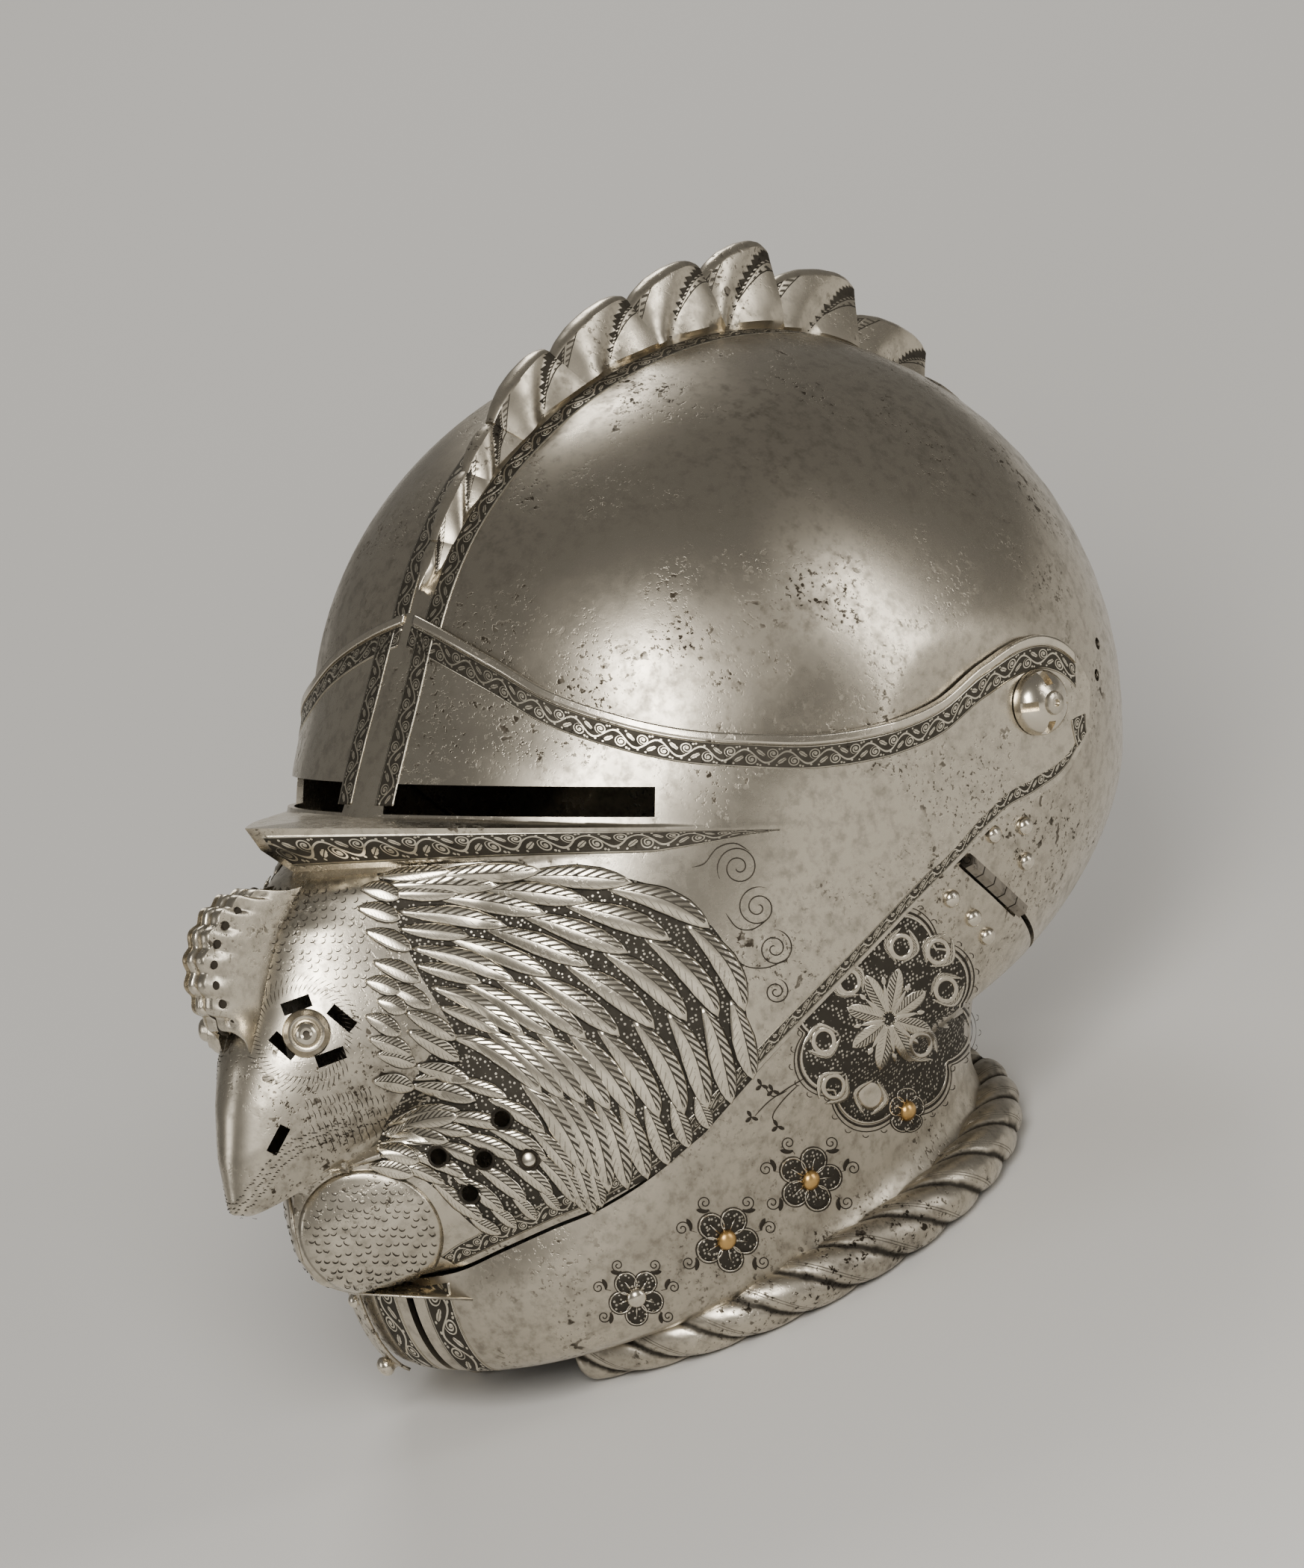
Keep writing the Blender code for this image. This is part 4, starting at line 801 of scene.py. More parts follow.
# Dark of the etched lines, also used as painted shade in the pupils' pits, the breath holes and the comb's
# marks and groove
LINE_AND_SHADE_STEEL = steel("etched_line_and_painted_shade", (0.060, 0.052, 0.042), (0.02, 0.018, 0.015), 0.5, 0.2, 0.50)
IRON = steel("hinge_iron", (0.30, 0.27, 0.225), (0.05, 0.042, 0.033), 0.8, 0.7, 0.34)
BRASS = steel("brass_caps", (0.66, 0.42, 0.16), (0.18, 0.10, 0.04), 0.65, 0.55, 0.28)


# The plates
TAIL_HALF_WIDTH = 0.028


def tail_angle():
    """Angle from the front at which the nape's tail plate starts."""
    low, high = 90.0, 180.0
    for _ in range(40):
        middle = (low + high) / 2
        low, high = (middle, high) if body_point(middle, 1.5)[0] > TAIL_HALF_WIDTH else (low, middle)
    return high


TAIL_ANGLE = tail_angle()
TAIL_GAP_ANGLE = 1.5


def steps(*stops):
    """Values through some stops, with so many steps to each: (start, (stop, count), ...)."""
    values = [np.array([stops[0]], float)]
    last = stops[0]
    for stop, count in stops[1:]:
        values.append(np.linspace(last, stop, count + 1)[1:])
        last = stop
    return np.concatenate(values)


def shell(name, mesh, inside, thickness, body, material, replaces):
    """Plate from a net, its outer face turned away from a point inside."""
    obj = piece(name, face_out(mesh, inside), body, material, replaces=replaces)
    wall(obj, thickness)
    return obj


INSIDE = to_rest(np.array([0.0, 0.0, 0.0]))


def make_bowl():
    tail = steps(TAIL_ANGLE, (180, 12))
    half = np.concatenate([steps(0, (SEAM_START_ANGLE, 62), (TAIL_ANGLE, 52)), tail[1:]])
    ring = np.concatenate([-half[:0:-1], half])
    lifts = np.linspace(0, 1, 64)
    a, t = np.meshgrid(ring, lifts, indexing="ij")
    low = skull_lower_level(ring)[:, None]
    dome = to_rest(body_point(a, low + (CROWN - low) * t))
    a, t = np.meshgrid(np.concatenate([tail, 360 - tail[-2::-1]]), np.linspace(0, 1, 30), indexing="ij")
    nape = to_rest(body_point(a, skull_lower_level(a[:, 0])[:, None] * t))
    bm = bmesh.new()
    bm.from_mesh(big_net("dome", dome))
    bm.from_mesh(big_net("nape", nape))
    mesh = mesh_of(bm, "bowl", weld=2e-6)
    bowl = shell("bowl", mesh, INSIDE, SKULL_WALL, "skull", BOWL_STEEL, ["skull"])
    holes = bmesh.new()
    for side in (1, -1):
        for angle, level in BACK_HOLES:
            p, n = plate_spot(angle, level, side)
            drill(holes, p, n, BACK_HOLE_RADIUS, PLATE_DRILL_DEPTH, 12)
    cut(bowl, mesh_of(holes, "holes"))


def plate_spot(angle, level, side=1):
    """Point and outward normal of the bowl or cheek at an angle and level, in the rest frame."""
    across = body_point(angle + 1.0, level) - body_point(angle - 1.0, level)
    along = body_point(angle, level + 0.04) - body_point(angle, level - 0.04)
    n = np.cross(across, along)
    n = mirror(n / np.linalg.norm(n), side)
    return to_rest(mirror(body_point(angle, level), side)), way_to_rest(n)


def drill(bm, middle, way, radius, depth, sides):
    """Add a round bar to cut a hole with."""
    turn = Vector(way).to_track_quat("Z", "Y").to_matrix().to_4x4()
    bmesh.ops.create_cone(bm, cap_ends=True, segments=sides, radius1=radius, radius2=radius, depth=depth,
                          matrix=Matrix.Translation(Vector(middle)) @ turn)


def block(bm, middle, long_way, depth_way, size):
    """Add a bar with flat sides to cut a slot with."""
    x = Vector(long_way).normalized()
    z = Vector(depth_way)
    z = (z - z.project(x)).normalized()
    turn = Matrix((x, z.cross(x), z)).transposed().to_4x4()
    bmesh.ops.create_cube(bm, size=1.0, matrix=Matrix.Translation(Vector(middle)) @ turn
                          @ Matrix.Diagonal((*size, 1.0)))


BACK_HOLES = ((120.8, 6.129), (118.2, 6.078))
EYE_PLACE = (8.6, 13.46)
EYE_SLOTS = ((6.9, 12.8, 20), (11.7, 13.2, -40), (6.5, 13.7, -42), (11.2, 14.1, 20))
NOSTRIL_PLACE = (6.1, 15.8)
BREATHS = ((27.4, 19.1), (17.3, 20.7), (24.3, 21.6), (31.1, 22.3), (21.1, 23.1))
SKULL_RIVETS = ((91.6, 4.818), (97.5, 4.862), (100.1, 4.482))
CHEEK_RIVETS = ((87.4, 4.269), (92.1, 4.013), (97.1, 3.748))
LINING_RIVETS = ((101.3, 1.448), (82.1, 1.552), (65.7, 1.522), (47.1, 1.422))
ROSETTE_CENTRE = (84.5, 3.199)
ROSETTE_HOLES = ((82.2, 3.938), (88.4, 3.746), (75.1, 3.728), (93.4, 3.242), (73.8, 3.251),
                 (101.5, 2.182), (80.3, 2.643))
DRILL_WAY = np.array([0.743, -0.669, 0.0])
SIGHT_FOOT, SIGHT_CUT_DEPTH = 0.0024, 0.040
EYE_SLOT_SIZE, NOSTRIL_SIZE = (0.0085, 0.0036, 0.016), (0.0085, 0.0032, 0.012)
BREATH_RADIUS, PIVOT_HOLE_RADIUS, BACK_HOLE_RADIUS = 0.0024, 0.004, 0.0018
ROSETTE_HOLE_RADIUS, ROSETTE_HUB_RADIUS, HINGE_BARREL_RADIUS = 0.0024, 0.0014, 0.0029
PLATE_DRILL_DEPTH = 0.012


def make_visor():
    half = steps(0, (13, 34), (50, 52), (109.5, 56))
    columns = np.concatenate([-half[:0:-1], half])
    rows = np.concatenate([steps(0, (9, 36)), steps(9, (27, 100))[1:]])
    a, r = np.meshgrid(columns, rows, indexing="ij")
    net = to_rest(visor_point(a, r))
    visor = shell("visor_plate", big_net("visor_plate", net), to_rest(np.array([0, -0.05, -0.03])),
                  VISOR_WALL, "visor", VISOR_STEEL, ["visor"])
    cuts = bmesh.new()
    for side in (1, -1):
        way = drill_way(side)
        p, q = visor_point(3.6, 5.0), visor_point(44.0, 5.0)
        middle = (p + q) / 2
        middle[2] = SIGHT_LEVEL + SIGHT_FOOT + SIGHT_HEIGHT / 2
        along = q - p
        along[2] = 0.0
        block(cuts, to_rest(mirror(middle, side)), way_to_rest(mirror(along, side)),
              way_to_rest([0, 0, 1.0]), (SIGHT_LENGTH, SIGHT_CUT_DEPTH, SIGHT_HEIGHT))
        flat = np.array([0.669 * side, 0.743, 0.0])
        for angle, row, turn in EYE_SLOTS:
            long_way = flat * math.cos(math.radians(turn)) + np.array([0, 0, math.sin(math.radians(turn))])
            block(cuts, to_rest(mirror(visor_point(angle, row), side)), way_to_rest(long_way), way,
                  EYE_SLOT_SIZE)
        block(cuts, to_rest(mirror(visor_point(*NOSTRIL_PLACE), side)),
              way_to_rest(flat + np.array([0, 0, 1.9])), way, NOSTRIL_SIZE)
        for place in BREATHS:
            drill(cuts, to_rest(mirror(visor_point(*place), side)), way, BREATH_RADIUS, 0.020, 20)
        drill(cuts, to_rest(np.array([side * (TEMPLE_FLAT + VISOR_WALL), PIVOT_Y, PIVOT_Z])), (1, 0, 0),
              PIVOT_HOLE_RADIUS, 0.016, 24)
    cut(visor, mesh_of(cuts, "cuts"))


def make_cheek(side, side_name):
    last = TAIL_ANGLE - TAIL_GAP_ANGLE
    columns = steps(0, (30, 30), (SEAM_START_ANGLE, 44), (last, 46))
    a, t = np.meshgrid(columns, np.linspace(0, 1, 44), indexing="ij")
    net = body_point(a, cheek_top_level(columns)[:, None] * t)
    net[..., 0] = np.maximum(net[..., 0], CHIN_GAP / 2)
    cheek = shell(f"cheek_plate_{side_name}", big_net("cheek", to_rest(mirror(net, side))), INSIDE,
                  CHEEK_WALL, f"cheek_{side_name}", CHEEK_STEEL, [f"cheek_{side_name}"])
    holes = bmesh.new()
    for angle, level in ROSETTE_HOLES:
        p, n = plate_spot(angle, level, side)
        drill(holes, p, n, ROSETTE_HOLE_RADIUS, PLATE_DRILL_DEPTH, 20)
    p, n = plate_spot(*ROSETTE_CENTRE, side)
    drill(holes, p, n, ROSETTE_HUB_RADIUS, PLATE_DRILL_DEPTH, 16)
    a, b = hinge_ends(side)
    drill(holes, (a + b) / 2, b - a, HINGE_BARREL_RADIUS, np.linalg.norm(b - a) + 0.001, 24)
    cut(cheek, mesh_of(holes, "holes"))


def plate_at(y, z, side):
    """Spot of the plate's left side at a place along it and a height, in the worn frame."""
    low, high = 1.0, 179.0
    for _ in range(30):
        angle = (low + high) / 2
        low, high = (angle, high) if body_point(angle, level_at(angle, z))[1] < y else (low, angle)
    return plate_spot(angle, float(level_at(angle, z)), side)


def hinge_ends(side):
    """Two ends of a cheekpiece's hinge line."""
    a, na = plate_at(*HINGE_START, side)
    b, nb = plate_at(*HINGE_END, side)
    out = (na + nb) / np.linalg.norm(na + nb)
    return a + out * HINGE_LINE_RISE, b + out * HINGE_LINE_RISE


HINGE_LINE_RISE = 0.0012
ROPE_PITCH, ROPE_STRANDS, ROPE_END_ROUND = 0.0170, 3.0, 0.005


def rope_net(first, last, side):
    """Twisted tube along part of the collar's oval, with its ends rounded and its foot flat."""
    angles = np.linspace(first, last, max(int(abs(last - first) * 2.6), 8))
    turns = np.linspace(0, 360, 49)
    a, b = np.radians(np.meshgrid(angles, turns, indexing="ij"))
    along = (np.radians(angles) - math.pi / 2) * (COLLAR_HALF_LENGTH + COLLAR_HALF_WIDTH) / 2
    end = np.minimum(np.abs(along - along[0]), np.abs(along - along[-1])) / ROPE_END_ROUND
    cap = np.sqrt(1 - (1 - np.clip(end, 0, 1)) ** 2 + 1e-9)[:, None]
    phase = along[:, None] / ROPE_PITCH + ROPE_STRANDS * b / (2 * math.pi)
    strand = np.abs(np.sin(math.pi * phase)) ** 0.55
    thread = np.abs(np.sin(4 * math.pi * phase)) ** 0.7
    radius = ROPE_RADIUS * (0.80 + 0.20 * strand) * (0.988 + 0.012 * thread) * cap
    out = np.stack([np.sin(a), -np.cos(a), np.zeros_like(a)], -1)
    middle = np.stack([COLLAR_HALF_WIDTH * np.sin(a), -COLLAR_HALF_LENGTH * np.cos(a),
                       np.full_like(a, ROPE_RADIUS)], -1)
    p = middle + out * (radius * np.cos(b))[..., None]
    p[..., 2] += radius * np.sin(b)
    p[..., 2] = np.maximum(p[..., 2], 0.0)
    return mirror(p, side) + COLLAR_MIDDLE, np.stack([phase, b / (2 * math.pi)], -1)


def make_rope(name, first, last, side, body):
    mesh = face_out(big_net(name, *rope_net(first, last, side)))
    piece(name, mesh, body, ROPE_STEEL)


# The collar starts this far to each side of the chin's middle
ROPE_FRONT_GAP = 0.020
ROPE_FRONT_ANGLE = math.degrees(math.asin(ROPE_FRONT_GAP / COLLAR_HALF_WIDTH))

make_bowl()
make_visor()
for side, side_name in SIDES:
    make_cheek(side, side_name)
    make_rope(f"rope_{side_name}", ROPE_FRONT_ANGLE, TAIL_ANGLE - TAIL_GAP_ANGLE, side,
              f"cheek_{side_name}")
make_rope("rope_nape", TAIL_ANGLE, 360 - TAIL_ANGLE, 1, "skull")


# The crest: folded plumes that grow taller to the crown and lower again behind it
CREST_TIPS = ((161, .14), (152, .25), (145, .36), (133, .61), (119, .70), (106, .84),
              (94, 1.0), (78, .84), (61.5, .68), (47, .54), (34, .38), (24, .22))
CREST_START, CREST_END, CREST_HEIGHT = 167.0, 18.0, 0.025


def crest_place(turn, above):
    """Places over the dome on the middle line, by turn round the pivots' axis and height above."""
    a = np.radians(np.asarray(turn, float))
    wy, wz = np.cos(a), np.sin(a)
    low, high = np.full_like(a, 0.05), np.full_like(a, 0.20)
    for _ in range(34):
        middle = (low + high) / 2
        y, z = PIVOT_Y + wy * middle - SKULL_CENTRE[1], PIVOT_Z + wz * middle - SKULL_CENTRE[2]
        length = np.where(y < 0, SKULL_FRONT, SKULL_BACK)
        inside = (y / length) ** 2 + (z / SKULL_HEIGHT) ** 2 < 1
        low, high = np.where(inside, middle, low), np.where(inside, high, middle)
    return np.stack([np.zeros_like(a), PIVOT_Y + wy * (low + above), PIVOT_Z + wz * (low + above)], -1)


def close(bm):
    """Join a net's seams and close its ends."""
    bmesh.ops.remove_doubles(bm, verts=bm.verts, dist=2e-6)
    bmesh.ops.holes_fill(bm, edges=[e for e in bm.edges if e.is_boundary])


def crest_outline(turn):
    """Height of the crest's edge at each turn."""
    turn = np.asarray(turn, float)
    height = np.zeros_like(turn)
    start = CREST_START
    for tip, share in CREST_TIPS:
        part = (turn - start) / (tip - start)
        lobe = np.interp(part, (0, 0.18, 0.38, 0.60, 0.80, 0.92, 1.0), (.60, .76, .88, .96, 1.0, .985, .93))
        height = np.where((part >= 0) & (part < 1), share * lobe * CREST_HEIGHT, height)
        start = tip
    last = np.clip((turn - CREST_END) / (CREST_TIPS[-1][0] - CREST_END), 0, 1)
    return np.where(turn < CREST_TIPS[-1][0], 0.10 * CREST_HEIGHT * last + 0.0002, height)


CREST_FOOT_WIDTH, CREST_EDGE_WIDTH, CREST_SINK, CREST_LEAN = 0.0092, 0.0030, 0.0012, 17.0


def make_crest():
    # Stations stand close together at each tip, where the edge drops to the next plume's root
    turns = []
    start = CREST_START
    for tip, _ in CREST_TIPS:
        turns.extend(start + (tip - start) * np.concatenate([np.linspace(0.0, 0.94, 24), [0.97, 0.9995]]))
        start = tip
    turns.extend(np.linspace(start - 0.01, CREST_END, 10))
    turns = np.array(turns)
    height = crest_outline(turns)
    across = np.linspace(-1, 1, 41)
    t, v = np.meshgrid(turns, across, indexing="ij")
    h = np.broadcast_to(height[:, None], t.shape)
    up = 1 - np.abs(v) ** 2.6
    # Each fold rises from a root well ahead of its tip, with a groove before it
    lean = t - CREST_LEAN * (1 - up) * np.clip(h / CREST_HEIGHT, 0.35, 1)
    fold, over = np.zeros_like(t), np.zeros_like(t)
    edge = CREST_START
    for tip, _ in CREST_TIPS:
        part = (lean - edge) / (tip - edge)
        wave = np.where((part >= 0) & (part < 1), np.sin(np.pi * np.clip(part, 0, 1)) ** 0.7
                        * np.clip(part, 0, 1) ** 0.5, 0)
        fold = np.maximum(fold, wave)
        over = np.where((part >= 0) & (part < 1), part, over)
        edge = tip
    side_width = CREST_FOOT_WIDTH * (1 - up) + CREST_EDGE_WIDTH * up
    x = np.sign(v) * side_width * np.where(np.abs(v) < 0.35, np.abs(v) / 0.35, 1.0)
    x *= 0.66 + 0.46 * fold * np.clip(up / 0.06, 0, 1)
    taper = np.clip(np.minimum((CREST_START - t) / 3.0, (t - CREST_END) / 6.0), 0.05, 1)
    p = crest_place(t, -CREST_SINK + (h + CREST_SINK) * up)
    p[..., 0] = x * taper * np.clip(0.50 + h / CREST_HEIGHT * 0.9, 0, 1)
    uv = np.stack([over, up], -1)
    mesh = big_net("crest", to_rest(p), uv)
    bm = bmesh.new()
    bm.from_mesh(mesh)
    close(bm)
    piece("crest", face_out(mesh_of(bm, "crest")), "skull", CREST_STEEL)


make_crest()


LINE_LIFT = 0.00012
BODY_SKIN = Skin(body_point, np.linspace(0, 180, 361), np.linspace(0, CROWN, 420))
VISOR_SKIN = Skin(visor_point, np.linspace(0, 109.5, 300), np.linspace(0, 27, 480))


def thin(name, bm, body, material, thickness):
    """Piece from nets laid on a plate, given a little thickness of its own."""
    obj = piece(name, mesh_of(bm, name), body, material)
    wall(obj, thickness)
    return obj


def lay(bm, points, normals, uv=None):
    """Add one net laid on the left half of a plate, and its twin on the right."""
    for side in (1, -1):
        into = bm[side] if isinstance(bm, dict) else bm
        made = net_into(into, to_rest(mirror(points, side)), uv)
        outward = way_to_rest(mirror(np.asarray(normals).reshape(-1, 3).mean(0), side))
        turn_nets_out(into, made, Vector(outward))


def smooth_line(points, count):
    """Points at even spacing along a smooth line through some guide points."""
    points = np.array(points, float)
    out = []
    for i in range(len(points) - 1):
        p0, p1 = points[max(i - 1, 0)], points[i]
        p2, p3 = points[i + 1], points[min(i + 2, len(points) - 1)]
        t = np.linspace(0, 1, 12, endpoint=False)[:, None]
        out.append(0.5 * (2 * p1 + (p2 - p0) * t + (2 * p0 - 5 * p1 + 4 * p2 - p3) * t**2
                          + (3 * p1 - p0 - 3 * p2 + p3) * t**3))
    line = np.concatenate(out + [points[-1:]])
    length = np.concatenate([[0], np.cumsum(np.linalg.norm(np.diff(line, axis=0), axis=1))])
    want = np.linspace(0, length[-1], count)
    return np.stack([np.interp(want, length, line[:, k]) for k in range(line.shape[1])], -1)


def ribbon_into(bm, skin, spots, width, lift, ends=0.15):
    """Narrow line drawn on a plate, with pointed ends, from spots of the picture's plane."""
    spots = np.array(spots, float)
    p, n = skin.under(spots, lift)
    along = np.gradient(p, axis=0)
    along /= np.linalg.norm(along, axis=1, keepdims=True) + 1e-12
    out = np.cross(n, along)
    t = np.linspace(0, 1, len(p))
    half = np.full(len(p), width / 2)
    if ends:
        half = half * np.clip(np.minimum(t, 1 - t) / ends, 0.25, 1.0)
    net = np.stack([p - out * half[:, None], p + out * half[:, None]], 1)
    lay(bm, net, n)


def face_px(points):
    """Spots of the picture's plane from the places measured on the mask's enlargement."""
    return np.array([250.0, 1000.0]) + np.array(points, float) / 1.96


# Feathers of the mask fan back from the eye in rows, each laid over the root of the next
FAN_LINES = [
    ((500, 330), (780, 320), (1050, 325), (1280, 390), (1430, 560), (1482, 860)),
    ((520, 375), (740, 395), (970, 460), (1190, 590), (1310, 770), (1352, 1008)),
    ((560, 480), (730, 520), (920, 620), (1080, 760), (1180, 920), (1228, 1112)),
    ((610, 590), (740, 640), (880, 740), (1000, 860), (1080, 1000), (1108, 1175)),
    ((690, 720), (790, 770), (880, 850), (960, 950), (1020, 1070), (1062, 1218)),
    ((520, 985), (640, 965), (770, 985), (880, 1040), (970, 1120), (1010, 1190)),
    ((500, 1040), (600, 1030), (700, 1060), (790, 1120), (860, 1190), (890, 1240)),
    ((520, 1100), (590, 1110), (650, 1150), (700, 1200), (760, 1255), (800, 1275))]
FAN = np.stack([smooth_line(face_px(line), 61) for line in FAN_LINES])


def fan_spot(s, row):
    """Spot in the fan: s runs along its lines, row counts the guide lines from the top."""
    s, row = np.broadcast_arrays(np.asarray(s, float), np.asarray(row, float))
    i = np.clip(row.astype(int), 0, len(FAN) - 2)
    f = row - i
    j = np.clip((s * 60).astype(int), 0, 59)
    g = s * 60 - j
    f, g = f[..., None], g[..., None]
    return ((FAN[i, j] * (1 - g) + FAN[i, j + 1] * g) * (1 - f)
            + (FAN[i + 1, j] * (1 - g) + FAN[i + 1, j + 1] * g) * f)


def blade_into(bm, skin, line, width, lift, camber, rise):
    """Raised blade of a feather along a line of spots, its tip pointed and standing clear."""
    line = smooth_line(line, 15)
    tangent = np.gradient(line, axis=0)
    tangent /= np.linalg.norm(tangent, axis=1, keepdims=True)
    across = np.stack([-tangent[:, 1], tangent[:, 0]], -1)
    u = np.linspace(0, 1, 15)
    half = width / 2 * np.interp(u, (0, .08, .25, .5, .72, .88, .96, 1.0),
                                 (.16, .38, .74, 1.0, .92, .60, .28, .02))
    v = np.linspace(-1, 1, 7)
    spots = line[:, None] + across[:, None] * (half[:, None] * v[None])[..., None]
    height = lift + rise * u[:, None] ** 1.5 + camber * (1 - np.abs(v[None]) ** 1.6) * np.sin(
        math.pi * np.clip(u[:, None] * 0.86 + 0.10, 0, 1))
    p, n = skin.under(spots, height)
    uv = np.stack(np.broadcast_arrays(u[:, None], ((v + 1) / 2)[None]), -1)
    lay(bm, p, n, uv)


def open_breaths(bm, radius):
    """Leave the breath holes open in what lies over the plate."""
    gone = set()
    for side in (1, -1):
        way = drill_way(side)
        way = way / np.linalg.norm(way)
        faces = list(bm.faces)
        centres = np.array([f.calc_center_median() for f in faces])
        for place in BREATHS:
            off = centres - to_rest(mirror(visor_point(*place), side))
            away = off - (off @ way)[:, None] * way
            near = (np.linalg.norm(away, axis=1) < radius) & (np.linalg.norm(off, axis=1) < 0.02)
            gone |= {faces[k] for k in np.flatnonzero(near)}
    bmesh.ops.delete(bm, geom=list(gone), context="FACES")


def make_fan():
    """Etched ground of the fan and the raised feathers on it, in rows under each other."""
    ground = bmesh.new()
    s, r = np.meshgrid(np.linspace(0, 1, 110), np.linspace(0, 7, 100), indexing="ij")
    p, n = VISOR_SKIN.under(fan_spot(s, r), 0.00010)
    lay(ground, p, n, np.stack([s, r / 7], -1))
    open_breaths(ground, 0.0027)
    thin("fan_ground", ground, "visor", GROUND_STEEL, 0.00008)
    fan = bmesh.new()
    rows = np.concatenate([np.linspace(0.10, 4.0, 10), [4.45, 4.9, 5.35, 5.85, 6.35, 6.8]])
    for k, row in enumerate(rows):
        line = fan_spot(np.linspace(0, 1, 61), np.full(61, row))
        length = np.linalg.norm(np.diff(line, axis=0), axis=1).sum()
        reach = 150.0 if row < 4.3 else 84.0
        wide = 36.0 if row < 4.3 else 25.0
        step = reach * 0.80 / length
        first = (0.5 if k % 2 else 0.0) * step - reach * 0.35 / length
        start = first
        while start < 1.0 - 0.35 * reach / length:
            s0, s1 = max(start, 0.0), min(start + reach / length, 1.0)
            if s1 - s0 > 0.35 * reach / length:
                s = np.linspace(s0, s1, 9)
                drift = np.linspace(0.10, -0.06, 9)
                spots = fan_spot(s, np.clip(row + drift, 0, 7))
                size = wide * min(1.0, 0.62 + 0.5 * s0 + 0.2) * ((s1 - s0) * length / reach) ** 0.4
                blade_into(fan, VISOR_SKIN, spots, size, 0.00022, 0.00075, 0.00055)
            start += step
    open_breaths(fan, 0.0028)
    thin("fan_feathers", fan, "visor", FEATHER_STEEL, 0.00018)


HEAD_FEATHERS = (
    (490, 560, 612, 612), (520, 620, 640, 680), (500, 660, 575, 690), (575, 690, 705, 760),
    (580, 740, 715, 815), (500, 800, 600, 825), (600, 830, 745, 870), (590, 880, 760, 920),
    (490, 870, 595, 885), (560, 990, 715, 960), (520, 1010, 690, 1025), (500, 1050, 610, 1080),
    (480, 1090, 595, 1115), (470, 480, 590, 530), (450, 420, 560, 450), (460, 370, 560, 395),
    (470, 700, 560, 750), (480, 760, 590, 800), (470, 610, 560, 640))


def make_head_feathers():
    bm = bmesh.new()
    for x0, y0, x1, y1 in HEAD_FEATHERS:
        a, b = face_px((x0, y0)), face_px((x1, y1))
        middle = (a + b) / 2 + np.array([0.0, -3.0])
        blade_into(bm, VISOR_SKIN, np.stack([a, middle, b]), 27.0, 0.0007, 0.0005, 0.0006)
    thin("head_feathers", bm, "visor", FEATHER_STEEL, 0.00018)


make_fan()
make_head_feathers()


# Bands of vine scroll along the edges
def visor_strip(angles, near, far, rows, across=9):
    """Net on the visor between two distances in from its upper or lower edge."""
    a, r = np.meshgrid(angles, rows, indexing="ij")
    p = visor_point(a, r)
    step = np.linalg.norm(np.diff(p, axis=1), axis=-1)
    run = np.concatenate([np.zeros((len(angles), 1)), np.cumsum(step, axis=1)], 1)
    want = np.linspace(near, far, across)
    row = np.array([np.interp(want, run[i], rows) for i in range(len(angles))])
    return visor_point(np.repeat(angles[:, None], across, 1), row)


def band_normals(net):
    """Outward normals of a strip, and its pattern map scaled to the strip's width."""
    n = np.cross(np.gradient(net, axis=0), np.gradient(net, axis=1))
    n /= np.linalg.norm(n, axis=-1, keepdims=True) + 1e-12
    n *= np.sign((n * net).sum(-1))[..., None]
    width = np.linalg.norm(net[:, -1] - net[:, 0], axis=-1).mean()
    middle = net[:, net.shape[1] // 2]
    run = np.concatenate([[0], np.cumsum(np.linalg.norm(np.diff(middle, axis=0), axis=-1))]) / width
    v = np.linspace(0, 1, net.shape[1])
    return n, np.stack(np.broadcast_arrays(run[:, None], v[None]), -1)


def band_into(bm, net, lift=LINE_LIFT):
    """Lay a strip on the left half of a plate, and its twin on the right."""
    n, uv = band_normals(net)
    lay(bm, net + n * lift, n, uv)


def band_on_side(bm, net, side):
    """Lay a strip on one side only."""
    n, uv = band_normals(net)
    made = net_into(bm, to_rest(mirror(net + n * LINE_LIFT, side)), uv)
    turn_nets_out(bm, made, Vector(way_to_rest(mirror(n.reshape(-1, 3).mean(0), side))))


